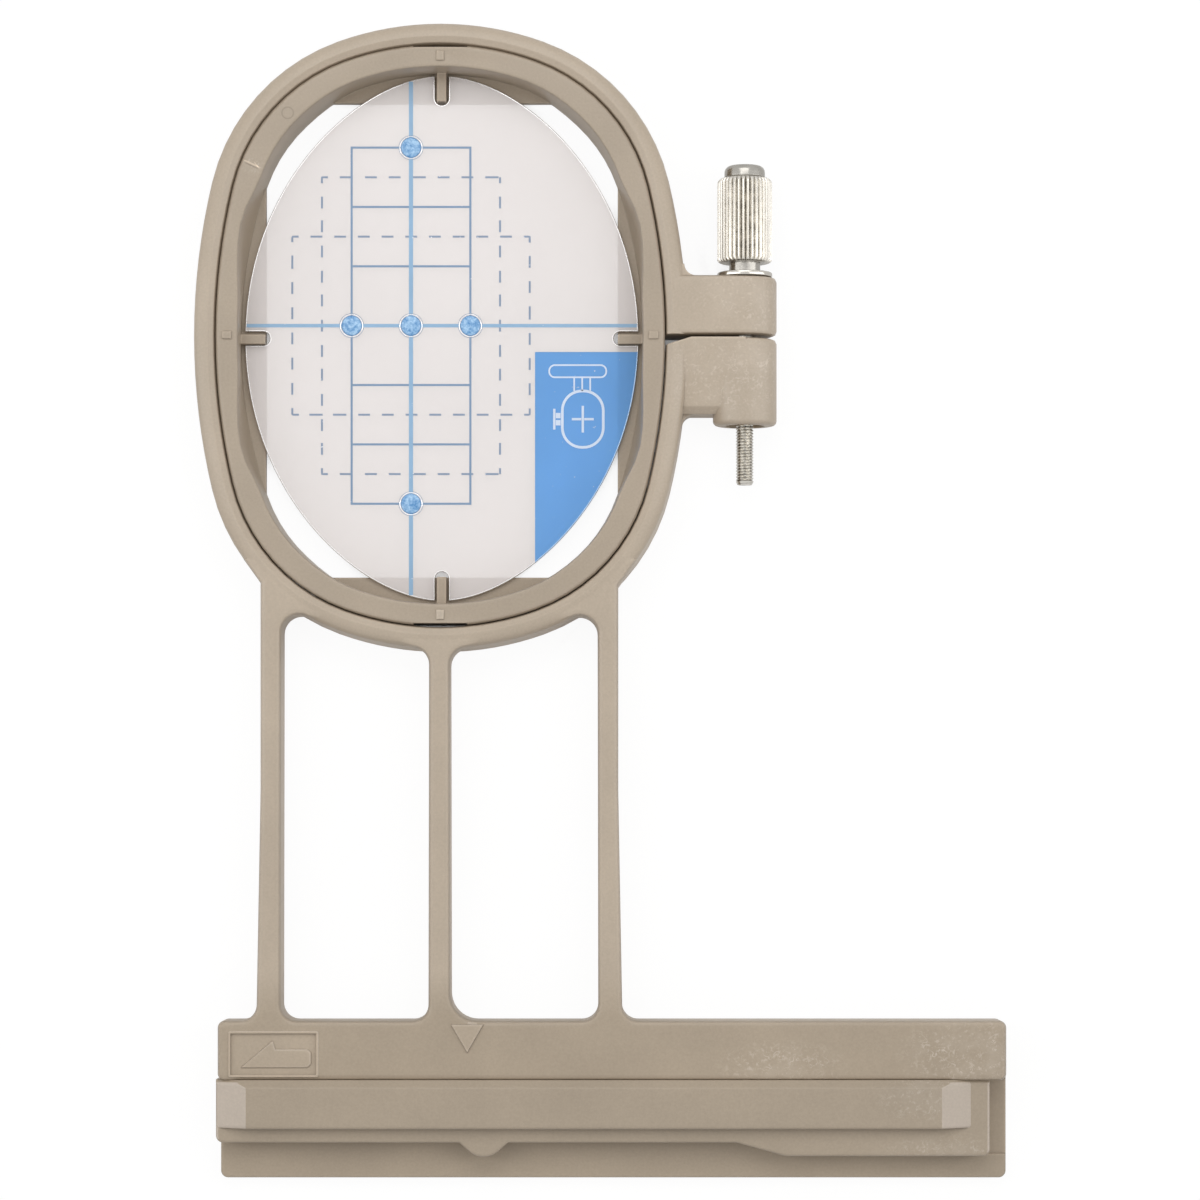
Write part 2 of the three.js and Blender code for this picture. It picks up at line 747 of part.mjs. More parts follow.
function railBar() {
  const left = guideLeft + railLeftInset;
  const right = guideRight - railRightInset;
  const root = flangeTop - guideWall;
  const section = polygon(
    [root, left],
    [flangeTop, left],
    [railTop, left + railSlopeRun],
    [railTop, right - railSlopeRun],
    [flangeTop, right],
    [root, right],
  );
  const back = polygon(
    [guideTop - railBackChamfer, railTop],
    [guideTop, railTop - railBackChamfer],
    [guideTop + overCut, railTop - railBackChamfer],
    [guideTop + overCut, railTop + overCut],
    [guideTop - railBackChamfer, railTop + overCut],
  );
  return cut(alongY(section, guideTop - railDepth, guideTop, railEdge), alongX(back, left, right));
}

function guideHollows() {
  const places = guideScrewPlaces();
  const roof = flangeTop - guideWall;
  const ends = [guideLeft + guideWall, ...places, guideRight - guideWall];
  return ends.slice(0, -1).map((_, i) => {
    const start = i === 0 ? ends[0] : ends[i] + guideBossRadius;
    const stop = i === places.length ? ends[i + 1] : ends[i + 1] - guideBossRadius;
    return block(start, stop, guideTop - flangeNarrow + guideWall, guideTop - guideWall,
      basePlateThickness - overCut, roof);
  });
}

function guideRail() {
  const flange = upward(flangeOutline(), basePlateThickness, flangeTop, flangeEdge);
  const hole = guideScrewRadius + threadClearance;
  const holeTop = guideScrewSink + guideScrewLength + threadClearance;
  const low = basePlateThickness - overCut;
  const pilots = guideScrewPlaces().map((x) => turnedAtGuideScrew(x, [0, low], [hole, low], [hole, holeTop],
    [0, holeTop]));
  return cut(join(flange, railBar()), ...guideHollows(), ...pilots);
}

function guideScrew(x) {
  const headTop = guideScrewSink + guideScrewHeadDepth;
  const tip = guideScrewSink + guideScrewLength;
  return turnedAtGuideScrew(x,
    [0, guideScrewSink],
    [guideScrewHeadRadius, guideScrewSink],
    [guideScrewRadius, headTop],
    [guideScrewRadius, tip - guideScrewRadius],
    [guideScrewTipRadius, tip],
    [0, tip],
  );
}

// Inner ring: its wall is thicker at the corners, and relieved along the inner edge of each side
function innerRingWall() {
  const edge = innerEdgeRound;
  const level = ringHeight - edge;
  return ovalSweep((station) => {
    const corner = bandShare(station, cornerBand);
    const top = innerInsideTop - innerCornerTop * corner + sideRelief * bandShare(station, reliefBand);
    const foot = innerInsideFoot - innerCornerFoot * corner;
    return [
      [innerOutside - footChamfer, innerFootLift],
      [innerOutside, innerFootLift + footChamfer],
      ...quarterRound(innerOutside - edge, level, edge, 0, edgeSteps),
      ...quarterRound(top + edge, level, edge, 1, edgeSteps),
      [THREE.MathUtils.lerp(top, foot, reliefWaist), reliefWaistHeight],
      [foot, tabTop],
      [foot, innerFootLift],
    ];
  });
}

function tabs() {
  const plate = upward(ovalShape(innerOutside - innerWallTop / 2), innerFootLift, tabTop);
  const a = tabWindowHalfWidth;
  const b = tabWindowHalfLength;
  return cut(plate, block(-a, a, -b, b, innerFootLift - overCut, tabTop + overCut));
}

// Locating ribs at the four middles, which stand in the template's slots
function locatingRibs() {
  const top = sheetTop + ribRise;
  const half = ribWidth / 2;
  const sideRoot = ovalHalfWidth + innerInsideTop;
  const endRoot = ovalHalfLength + innerInsideTop;
  const low = innerFootLift + rootSink;
  return [
    block(tabWindowHalfWidth, sideRoot, -half, half, low, top),
    block(-sideRoot, -tabWindowHalfWidth, -half, half, low, top),
    block(-half, half, tabWindowHalfLength, endRoot, low, top),
    block(-half, half, -endRoot, -tabWindowHalfLength, low, top),
  ];
}

function centreTicks() {
  const top = ringHeight + tickRise;
  const low = ringHeight - rootSink;
  const half = tickWidth / 2;
  const middle = innerOutside - innerWallTop / 2;
  const x = ovalHalfWidth + middle;
  const y = ovalHalfLength + middle;
  const reach = tickLength / 2;
  return [
    block(x - reach, x + reach, -half, half, low, top),
    block(-x - reach, -x + reach, -half, half, low, top),
    block(-half, half, y - reach, y + reach, low, top),
    block(-half, half, -y - reach, -y + reach, low, top),
  ];
}

// Shallow flats at the ends of the ring, where a finger nail lifts it
function gripFlats() {
  const wall = ovalHalfLength + innerOutside;
  const half = gripFlatWidth / 2;
  const low = -overCut;
  const high = ringHeight + overCut;
  return [
    block(-half, half, wall - gripFlatDepth, wall + overCut, low, high),
    block(-half, half, -wall - overCut, -wall + gripFlatDepth, low, high),
  ];
}

function innerRing() {
  const wall = cut(innerRingWall(), ...gripFlats());
  return join(wall, tabs(), ...locatingRibs(), ...centreTicks());
}

// Template sheet: a pointed oval with a slot at each middle, resting a little way up its slots
function templateSheet() {
  const a = ovalHalfWidth + innerInsideFoot - sheetSideClearance;
  const b = ovalHalfLength + innerInsideFoot - sheetEndClearance;
  const u = sheetTopHandle;
  const v = sheetSideHandle;
  const outline = new THREE.Shape();
  outline.moveTo(a, 0);
  outline.bezierCurveTo(a, v, u, b, 0, b);
  outline.bezierCurveTo(-u, b, -a, v, -a, 0);
  outline.bezierCurveTo(-a, -v, -u, -b, 0, -b);
  outline.bezierCurveTo(u, -b, a, -v, a, 0);
  const sheet = toSolid(new THREE.ExtrudeGeometry(outline, {
    depth: sheetThickness,
    curveSegments: cornerSteps + endSteps,
    bevelEnabled: false,
  }).translate(0, 0, sheetBottom));
  const r = slotWidth / 2;
  const sideEnd = tabWindowHalfWidth - slotEndClearance + r;
  const endEnd = tabWindowHalfLength - slotEndClearance + r;
  const low = sheetBottom - overCut;
  const high = sheetTop + overCut;
  const slots = [
    roundedRectangle(sideEnd - r, a + slotWidth, -r, r, r),
    roundedRectangle(-a - slotWidth, -sideEnd + r, -r, r, r),
    roundedRectangle(-r, r, endEnd - r, b + slotWidth, r),
    roundedRectangle(-r, r, -b - slotWidth, -endEnd + r, r),
  ];
  return cut(sheet, ...slots.map((slot) => upward(slot, low, high))).translate([0, sheetRest, 0]);
}

// Clamp screw: stud, neck, core and the smooth cap above the grip
function clampScrew() {
  return onClampAxis(turned(
    [0, studTip],
    [studRadius - studTipLength / 2, studTip],
    [studRadius, studTip + studTipLength],
    [studRadius, neckBottom],
    [neckRadius, neckBottom],
    [neckRadius, gripBottom - pressClearance],
    [coreRadius, gripBottom - pressClearance],
    [coreRadius, gripTop + pressClearance],
    [capRadius, gripTop + pressClearance],
    [capRadius, gripTop + capLength - capChamfer],
    [capRadius - capChamfer, gripTop + capLength],
    [0, gripTop + capLength],
  ));
}

// Knurled grip: straight flutes, rounded off at both ends
function thumbscrewGrip() {
  const points = [];
  const pitch = (2 * Math.PI) / flutes;
  const ridge = (pitch * ridgeShare) / 2;
  const low = gripRadius - fluteDepth;
  for (let i = 0; i < flutes; i++) {
    const middle = pitch * i;
    for (const angle of [middle - ridge, middle + ridge]) {
      points.push([gripRadius * Math.cos(angle), gripRadius * Math.sin(angle)]);
    }
    const valley = middle + pitch / 2;
    points.push([low * Math.cos(valley), low * Math.sin(valley)]);
  }
  const fluted = alongY(polygon(...points), gripBottom, gripTop);
  const envelope = turned(
    [0, gripBottom],
    ...quarterRound(gripRadius - gripEndRound, gripBottom + gripEndRound, gripEndRound, 3, edgeSteps),
    ...quarterRound(gripRadius - gripEndRound, gripTop - gripEndRound, gripEndRound, 0, edgeSteps),
    [0, gripTop],
  );
  const bore = rod(coreRadius + pressClearance, gripBottom - overCut, gripTop + overCut);
  return onClampAxis(fluted.intersect(envelope).subtract(bore));
}

function thrustWasher() {
  const hole = studRadius + studPlay / 2;
  return onClampAxis(turned([hole, washerBottom], [washerRadius, washerBottom], [washerRadius, washerTop],
    [hole, washerTop], [hole, washerBottom]));
}

function clampNut() {
  const hole = studRadius + threadClearance;
  const top = nutTop - pressClearance;
  return onClampAxis(turned([hole, nutBottom + nutChamfer], [hole + nutChamfer, nutBottom],
    [nutRadius, nutBottom], [nutRadius, top], [hole, top], [hole, nutBottom + nutChamfer]));
}

// Assembly
const hoop = new THREE.Group();

function place(name, solid, finish) {
  const mesh = new THREE.Mesh(toGeometry(solid), new THREE.MeshStandardMaterial(finish));
  mesh.name = name;
  hoop.add(mesh);
}

place('outer_frame', outerFrame(), mouldedTaupe);
place('guide_rail', guideRail(), mouldedTaupe);
guideScrewPlaces().forEach((x, i) => place(`guide_screw_${i + 1}`, guideScrew(x), zincSteel));
place('inner_ring', innerRing(), mouldedTaupe);
place('template_sheet', templateSheet(), clearSheet);
place('clamp_screw', clampScrew(), nickelPlate);
place('thumbscrew_grip', thumbscrewGrip(), nickelPlate);
place('thrust_washer', thrustWasher(), nickelPlate);
place('clamp_nut', clampNut(), brass);

// The origin is under the middle of the whole hoop, on the plane that it lies on
const extent = new THREE.Box3().setFromObject(hoop);
const middle = extent.getCenter(new THREE.Vector3());
hoop.position.set(-middle.x, -middle.y, -extent.min.z);

export default hoop;
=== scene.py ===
# Looks of the machine embroidery hoop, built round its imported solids.
# Lengths are millimetres from the ring's centre until a point is placed in the frame's metres.
import math

import bmesh
import bpy
from mathutils import Matrix, Vector


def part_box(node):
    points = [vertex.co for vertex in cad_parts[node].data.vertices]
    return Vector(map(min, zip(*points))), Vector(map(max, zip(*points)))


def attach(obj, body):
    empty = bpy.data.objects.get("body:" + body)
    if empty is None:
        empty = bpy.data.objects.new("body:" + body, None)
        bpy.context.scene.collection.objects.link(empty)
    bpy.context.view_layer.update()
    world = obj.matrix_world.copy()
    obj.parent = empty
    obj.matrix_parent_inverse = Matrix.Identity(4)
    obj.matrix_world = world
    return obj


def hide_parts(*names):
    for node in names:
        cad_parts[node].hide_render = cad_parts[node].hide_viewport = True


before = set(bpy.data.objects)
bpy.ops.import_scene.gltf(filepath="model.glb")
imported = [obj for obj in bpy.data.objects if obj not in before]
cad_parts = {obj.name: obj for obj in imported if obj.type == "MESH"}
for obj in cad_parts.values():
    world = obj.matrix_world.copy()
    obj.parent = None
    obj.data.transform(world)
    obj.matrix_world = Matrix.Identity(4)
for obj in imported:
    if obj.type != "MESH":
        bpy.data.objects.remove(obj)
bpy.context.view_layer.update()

MM = 0.001
WELD = 2e-6
FINE_WELD = 1e-7
SMOOTH_ANGLE = math.radians(32)
FLAT_ANGLE = math.radians(0.3)
FLAT_FACING = 0.99
SHARPEST_MITRE = 0.3
ROUND_STEPS = 48

# Places taken from the solids
ring_low, ring_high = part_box("inner_ring")
ring_centre = (ring_low + ring_high) / 2
sheet_low, sheet_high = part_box("template_sheet")
washer_low, washer_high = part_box("thrust_washer")
grip_low, grip_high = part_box("thumbscrew_grip")
screw_low, screw_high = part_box("clamp_screw")
nut_low, nut_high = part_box("clamp_nut")
clamp_axis = (washer_low + washer_high) / 2


def ring_point(x, y, z):
    """A point in millimetres from the ring's centre and the floor, in the frame's metres"""
    return Vector((ring_centre.x + x * MM, ring_centre.y + y * MM, z * MM))


class NodeTree:
    """A tree of nodes, and short ways to add to it"""

    def __init__(self, tree):
        self.tree = tree

    def add(self, kind, inputs=None, **settings):
        node = self.tree.nodes.new(kind)
        for label, value in settings.items():
            setattr(node, label, value)
        for label, value in (inputs or {}).items():
            self.feed(node.inputs[label], value)
        return node

    def feed(self, socket, value):
        """Links an output to a socket, or sets the socket's own value"""
        if isinstance(value, bpy.types.NodeSocket):
            self.tree.links.new(value, socket)
        else:
            socket.default_value = value

    def math(self, operation, a, b=0.0):
        return self.add("ShaderNodeMath", {0: a, 1: b}, operation=operation).outputs[0]

    def remap(self, value, low, high, to_low=0.0, to_high=1.0):
        node = self.add(
            "ShaderNodeMapRange",
            {"Value": value, "From Min": low, "From Max": high, "To Min": to_low, "To Max": to_high},
        )
        return node.outputs[0]


# Finishes. A scale counts the cells of a pattern in a metre, and depths and reaches are millimetres.
GRAIN_SCALE = 2600
GRAIN_DEPTH = 0.02
MOTTLE_SCALE = 70
WAVE_SCALE = 420
WAVE_DEPTH = 0.05
HAIR_SCALES = (330, 760)
BREAK_SCALE = 420
CLOUD_SCALE = 240
FLECK_SCALE = 1300
# Where the painted shade towards the bar is full, and where it ends towards the ring, in millimetres along
# Y
BAR_SHADE_FROM = -113.5
BAR_SHADE_TO = -106
EDGE_SOFTNESS = 0.4
SCUFF_STRENGTH = 0.52
SCUFF_LIFT = 0.22
EDGE_REACH = 0.4
EDGE_LIFT = 1.3
EJECTOR_SHADE = 0.78
SPECK_TONE = (0.75, 0.8, 0.86)
# How dark the painted shade in flute and thread valleys gets, how strongly it shows, and the painted sheen
# on the thread
VALLEY_SHADE_TONE = 0.3
FLUTE_SHADE = 0.6
THREAD_SHADE = 0.75
THREAD_SHINE = 1.5
GRIP_FLUTES = 36
RIDGE_SHARE = 0.3
THREAD_PITCH = 0.5
THREAD_LENGTH = 20.0


class Finish(NodeTree):
    """One material with a Principled shader"""

    def __init__(self, name, **sockets):
        self.material = bpy.data.materials.new(name)
        self.material.use_nodes = True
        super().__init__(self.material.node_tree)
        self.shader = self.tree.nodes["Principled BSDF"]
        for label, value in sockets.items():
            self.set(label.replace("_", " "), value)

    def place(self, centre=(0, 0, 0), scale=(1, 1, 1), turn=0.0):
        """Object coordinates about a point, turned about Z and stretched by a scale"""
        coords = self.add("ShaderNodeTexCoord").outputs["Object"]
        back = -(Matrix.Rotation(turn, 3, "Z") @ Vector(centre))
        turned = self.add("ShaderNodeMapping", {"Vector": coords, "Location": tuple(back)})
        self.feed(turned.inputs["Rotation"], (0, 0, turn))
        return self.add("ShaderNodeMapping", {"Vector": turned.outputs[0], "Scale": scale}).outputs[0]

    def noise(self, scale, detail=2.0, roughness=0.5, vector=None):
        vector = vector or self.add("ShaderNodeTexCoord").outputs["Object"]
        node = self.add(
            "ShaderNodeTexNoise",
            {"Vector": vector, "Scale": scale, "Detail": detail, "Roughness": roughness},
        )
        return node.outputs["Fac"]

    def blend(self, share, a, b):
        """A colour between two others"""
        node = self.add("ShaderNodeMix", data_type="RGBA")
        self.feed(node.inputs["Factor"], share)
        self.feed(node.inputs[6], a if isinstance(a, bpy.types.NodeSocket) else (*a, 1))
        self.feed(node.inputs[7], b if isinstance(b, bpy.types.NodeSocket) else (*b, 1))
        return node.outputs[2]

    def scaled(self, colour, share):
        """A colour made lighter or darker by a share"""
        node = self.add("ShaderNodeVectorMath", {"Scale": share}, operation="SCALE")
        self.feed(node.inputs[0], colour)
        return node.outputs[0]

    def along_y(self):
        """How far along Y a point of the piece lies"""
        coords = self.add("ShaderNodeTexCoord").outputs["Object"]
        return self.add("ShaderNodeSeparateXYZ", {0: coords}).outputs["Y"]

    def hairlines(self, scale):
        """1 along thin wandering lines, 0 between them"""
        height = self.noise(scale, 2, 0.5)
        away = self.math("ABSOLUTE", self.math("SUBTRACT", height, 0.5))
        return self.remap(away, 0.004, 0.014, 1.0, 0.0)

    def turn_about(self, axis):
        """The share of a turn about a line along Y"""
        split = self.add("ShaderNodeSeparateXYZ", {0: self.place(axis)})
        angle = self.math("ARCTAN2", split.outputs["Z"], split.outputs["X"])
        return self.math("DIVIDE", angle, 2 * math.pi)

    def patch(self, centre, reach, turn=0.0):
        """1 at a point, falling to 0 at its reach in x, y and z"""
        scale = tuple(1 / (r * MM) for r in reach)
        coords = self.place(ring_point(*centre), scale, turn)
        fall = self.add("ShaderNodeTexGradient", {"Vector": coords}, gradient_type="SPHERICAL")
        return fall.outputs["Fac"]

    def circle(self, centre, radius, width):
        """1 along a thin circle about an upright line, 0 off it"""
        coords = self.place(ring_point(*centre), (1, 1, 0))
        away = self.add("ShaderNodeVectorMath", {0: coords}, operation="LENGTH").outputs["Value"]
        off = self.math("ABSOLUTE", self.math("SUBTRACT", away, radius * MM))
        return self.remap(off, width / 4 * MM, width / 2 * MM, 1.0, 0.0)

    def bump(self, height, distance, strength=1.0, normal=None):
        inputs = {"Height": height, "Distance": distance, "Strength": strength}
        if normal:
            inputs["Normal"] = normal
        return self.add("ShaderNodeBump", inputs).outputs[0]

    def set(self, label, value):
        self.feed(self.shader.inputs[label], value)


def moulded_plastic(name, tone, worn_places=(), bar_shade_tone=None, ejector=None, scratches=()):
    """Taupe moulded plastic: faint mottling, spark-eroded grain, pale scuffs, soft edges with a painted
    highlight along the convex ones, and, when given, a painted shade towards the bar
    """
    finish = Finish(name)
    grain = finish.noise(GRAIN_SCALE, 2, 0.6)
    mottle = finish.remap(finish.noise(MOTTLE_SCALE, 3), 0.32, 0.68, 0.95, 1.04)
    speckle = finish.remap(grain, 0.3, 0.7, 0.955, 1.045)
    colour = tone
    # Painted shade: the tone darkens towards the bar, where less light falls
    if bar_shade_tone:
        bar_side, ring_side = (ring_point(0, y, 0).y for y in (BAR_SHADE_FROM, BAR_SHADE_TO))
        above_bar = finish.remap(finish.along_y(), bar_side, ring_side)
        colour = finish.blend(above_bar, bar_shade_tone, tone)
    # Convex edges found by an inside occlusion test are made paler: a painted highlight along the edges
    edges = finish.add(
        "ShaderNodeAmbientOcclusion", {"Distance": EDGE_REACH * MM}, samples=6, inside=True, only_local=True
    )
    edge_highlight = finish.remap(edges.outputs["AO"], 0.55, 0.95, EDGE_LIFT, 1.0)
    uneven = finish.math("MULTIPLY", mottle, speckle)
    colour = finish.scaled(colour, finish.math("MULTIPLY", uneven, edge_highlight))
    haze = None
    for centre, reach in worn_places:
        worn = finish.remap(finish.patch(centre, reach), 0.0, 0.5)
        haze = worn if haze is None else finish.math("MAXIMUM", haze, worn)
    if haze is not None:
        hairs = finish.math("MAXIMUM", *(finish.hairlines(scale) for scale in HAIR_SCALES))
        broken = finish.remap(finish.noise(BREAK_SCALE, 3, 0.65), 0.47, 0.6)
        clouds = finish.remap(finish.noise(CLOUD_SCALE, 3, 0.6), 0.42, 0.7, 0.0, 0.3)
        flecks = finish.remap(finish.noise(FLECK_SCALE, 3, 0.65), 0.55, 0.68, 0.0, 0.7)
        marks = finish.math("MAXIMUM", finish.math("MULTIPLY", hairs, broken), clouds)
        marks = finish.math("MAXIMUM", marks, flecks)
        pale = tuple(c + SCUFF_LIFT for c in tone)
        shown = finish.math("MULTIPLY", finish.math("MULTIPLY", marks, haze), SCUFF_STRENGTH)
        colour = finish.blend(shown, colour, pale)
    if ejector:
        colour = finish.scaled(colour, finish.remap(finish.circle(*ejector), 0, 1, 1.0, EJECTOR_SHADE))
    for centre, reach, turn, share in scratches:
        line = finish.remap(finish.patch(centre, reach, math.radians(turn)), 0.0, 0.3)
        colour = finish.scaled(colour, finish.remap(line, 0, 1, 1.0, share))
    finish.set("Base Color", colour)
    finish.set("Roughness", finish.remap(grain, 0.3, 0.7, 0.3, 0.4))
    soft = finish.add("ShaderNodeBevel", {"Radius": EDGE_SOFTNESS * MM}, samples=4).outputs[0]
    normal = finish.bump(finish.noise(WAVE_SCALE, 2), WAVE_DEPTH * MM, 0.25, soft)
    finish.set("Normal", finish.bump(grain, GRAIN_DEPTH * MM, 0.4, normal))
    return finish.material


def clear_film(name, tone, alpha):
    """Hazy clear plastic of the template"""
    finish = Finish(name, Roughness=0.16, Alpha=alpha)
    haze = finish.remap(finish.noise(45, 3), 0.3, 0.7)
    finish.set("Base Color", finish.blend(haze, tuple(c * 0.97 for c in tone), tone))
    finish.set("Normal", finish.bump(finish.noise(120, 2), 0.02 * MM, 0.15))
    return finish.material


def bright_edge(name, tone):
    """Cut edge of the clear template, which mirrors the light inside it"""
    finish = Finish(name, Metallic=0.85)
    wave = finish.noise(500, 2)
    finish.set("Base Color", finish.blend(wave, tuple(c * 0.94 for c in tone), tone))
    finish.set("Roughness", finish.remap(wave, 0.3, 0.7, 0.2, 0.32))
    return finish.material


def printed_ink(name, tone):
    """Printed ink with pinholes and uneven cover"""
    finish = Finish(name, Roughness=0.32)
    cover = finish.remap(finish.noise(300, 3), 0.3, 0.7)
    colour = finish.blend(cover, tuple(c * 0.92 for c in tone), tone)
    holes = finish.remap(finish.noise(1500, 2), 0.72, 0.76)
    finish.set("Base Color", finish.blend(holes, colour, SPECK_TONE))
    return finish.material


def dot_enamel(name, light, dark):
    """Blue enamel dots, swirled and dimpled"""
    finish = Finish(name, Roughness=0.3)
    swirl = finish.noise(1500, 3, 0.6)
    finish.set("Base Color", finish.blend(finish.remap(swirl, 0.35, 0.65), dark, light))
    finish.set("Normal", finish.bump(swirl, 0.12 * MM, 0.9))
    return finish.material


def label_film(name, tone, clearness):
    """Blue label that lets some light through, with pale specks and uneven cover"""
    finish = Finish(name, Roughness=0.22, IOR=1.2, Transmission_Weight=clearness)
    cover = finish.remap(finish.noise(60, 3), 0.3, 0.7)
    colour = finish.blend(cover, tuple(c * 0.95 for c in tone), tuple(c * 1.04 for c in tone))
    specks = finish.remap(finish.noise(1500, 2), 0.73, 0.77)
    finish.set("Base Color", finish.blend(specks, colour, SPECK_TONE))
    return finish.material


def plated_metal(name, tone, roughness, flutes=0, pitch=0.0, thread_to=0.0):
    """Plated metal with fine turning marks, faint tarnish, painted shade in the valleys of its flutes or
    thread, and a painted sheen on its thread
    """
    finish = Finish(name, Metallic=1.0)
    tarnish = finish.remap(finish.noise(700, 3), 0.35, 0.7)
    colour = finish.blend(tarnish, tone, tuple(c * 0.9 for c in tone))
    # Painted shade darkens the flute and thread valleys towards a shaded tone, and the threaded part is
    # made lighter as a painted sheen
    if flutes or pitch:
        along = finish.along_y()
        turn = finish.turn_about(clamp_axis)
        if flutes:
            phase = finish.math("MULTIPLY", turn, flutes)
            reach = FLUTE_SHADE
        else:
            phase = finish.math("ADD", finish.math("DIVIDE", along, pitch), turn)
            threaded = finish.math("LESS_THAN", along, thread_to)
            reach = finish.math("MULTIPLY", threaded, THREAD_SHADE)
            colour = finish.scaled(colour, finish.remap(threaded, 0, 1, 1.0, THREAD_SHINE))
        fall = finish.math("ABSOLUTE", finish.math("SUBTRACT", finish.math("FRACT", phase), 0.5))
        ragged = finish.math("ADD", fall, finish.remap(tarnish, 0, 1, -0.06, 0.06))
        valley_shade = finish.math("MULTIPLY", finish.remap(ragged, 0.34, 0.48), reach)
        colour = finish.blend(valley_shade, colour, tuple(c * VALLEY_SHADE_TONE for c in tone))
    finish.set("Base Color", colour)
    turning = finish.noise(1.0, 2, 0.6, finish.place(clamp_axis, (200, 6000, 200)))
    finish.set("Roughness", finish.remap(turning, 0.3, 0.7, roughness * 0.8, roughness * 1.3))
    finish.set("Normal", finish.bump(turning, 0.002 * MM, 0.2))
    return finish.material


# Centre and reach of each worn place
frame_wear = (
    ((88, -120, 9), (13, 7, 4)),
    ((57, -122, 9), (12, 5, 4)),
    ((48, -6, 9), (14, 9, 6)),
    ((52, 6, 9), (11, 7, 6)),
)
rail_wear = (((85, -137, 9), (13, 4, 4)), ((81, -127, 11), (9, 5, 4)))
ring_wear = (((-31.2, 28.4, 10), (2.4, 1.8, 3)),)

# Centre, reach, turn in degrees and share of the tone of each scratch on the inner ring; a share under 1 is
# painted shade along the scratch's step
ring_scratches = (
    ((-31.4, 28.55, 10), (1.9, 0.16, 3), 25, 1.5),
    ((-31.5, 28.25, 10), (1.5, 0.12, 3), 25, 0.72),
    ((-30.6, 28.3, 10), (0.9, 0.12, 3), 52, 1.4),
)

# Centre, radius and width of the ejector's mark on the inner ring
ring_ejector = ((-25.43, 37.03, 10), 0.95, 0.3)

# The frame's last tone is the painted shade towards the bar; the rail's darker tone is the same painted
# shade
frame_plastic = moulded_plastic("frame_plastic", (0.463, 0.385, 0.298), frame_wear, (0.385, 0.313, 0.232))
rail_plastic = moulded_plastic("rail_plastic", (0.375, 0.307, 0.23), rail_wear)
# A paler tone for the rail's sloped ends: a painted sheen
rubbed_plastic = moulded_plastic("rubbed_plastic", (0.51, 0.437, 0.365))
# A paler tone for the bevels of the bar's marks, a painted highlight, and for the top of the inner ring's
# tick
mark_plastic = moulded_plastic("mark_plastic", (0.48, 0.405, 0.32))
panel_plastic = moulded_plastic("panel_plastic", (0.43, 0.352, 0.265))
inner_plastic = moulded_plastic("inner_plastic", (0.395, 0.325, 0.248), ring_wear, ejector=ring_ejector,
                                scratches=ring_scratches)
sheet_film = clear_film("sheet_film", (0.92, 0.87, 0.855), 0.62)
sheet_edge = bright_edge("sheet_edge", (0.9, 0.89, 0.89))
label_edge = bright_edge("label_edge", (0.5, 0.67, 0.9))
line_ink = printed_ink("line_ink", (0.29, 0.475, 0.68))
thin_ink = printed_ink("thin_ink", (0.22, 0.325, 0.48))
dash_ink = printed_ink("dash_ink", (0.26, 0.33, 0.45))
label_blue = label_film("label_blue", (0.20, 0.46, 0.87), 0.28)
label_white = printed_ink("label_white", (0.68, 0.77, 0.92))
dot_blue = dot_enamel("dot_blue", (0.42, 0.65, 0.89), (0.09, 0.28, 0.58))
dot_border = printed_ink("dot_border", (0.10, 0.25, 0.50))
nickel = plated_metal("nickel", (0.56, 0.535, 0.49), 0.18)
knurled_nickel = plated_metal("knurled_nickel", (0.69, 0.66, 0.605), 0.28, flutes=GRIP_FLUTES)
threaded_nickel = plated_metal("threaded_nickel", (0.41, 0.393, 0.36), 0.2, pitch=THREAD_PITCH * MM,
                               thread_to=screw_low.y + THREAD_LENGTH * MM)
zinc = plated_metal("zinc", (0.66, 0.67, 0.68), 0.34)
brass = plated_metal("brass", (0.66, 0.50, 0.24), 0.3)


# Meshes
def new_piece(name, mesh, *finishes):
    piece = bpy.data.objects.new(name, mesh)
    bpy.context.scene.collection.objects.link(piece)
    for finish in finishes:
        mesh.materials.append(finish)
    return piece


def smooth_by_angle(bm, limit=SMOOTH_ANGLE):
    """Smooth faces, with each edge over the limit left sharp"""
    for face in bm.faces:
        face.smooth = True
    for edge in bm.edges:
        edge.smooth = len(edge.link_faces) == 2 and edge.calc_face_angle(0) < limit


def made_plain(piece):
    """Turns what the modifiers give into the piece's own mesh"""
    shown = piece.evaluated_get(bpy.context.evaluated_depsgraph_get())
    mesh = bpy.data.meshes.new_from_object(shown)
    mesh.name = piece.name
    piece.modifiers.clear()
    piece.data = mesh


def weighted(piece):
    """Shades a piece by its large faces"""
    modifier = piece.modifiers.new("even_shading", "WEIGHTED_NORMAL")
    modifier.keep_sharp = True
    made_plain(piece)


def merged_copy(name, node, finish, smooth_limit=SMOOTH_ANGLE):
    """A node's solid with its loose triangles welded and its flat faces made whole"""
    bm = bmesh.new()
    bm.from_mesh(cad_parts[node].data)
    bmesh.ops.remove_doubles(bm, verts=bm.verts, dist=WELD)
    bmesh.ops.dissolve_limit(bm, angle_limit=FLAT_ANGLE, verts=bm.verts, edges=bm.edges)
    for face in bm.faces:
        face.material_index = 0
    smooth_by_angle(bm, smooth_limit)
    mesh = bpy.data.meshes.new(name)
    bm.to_mesh(mesh)
    bm.free()
    piece = new_piece(name, mesh, finish)
    weighted(piece)
    return piece


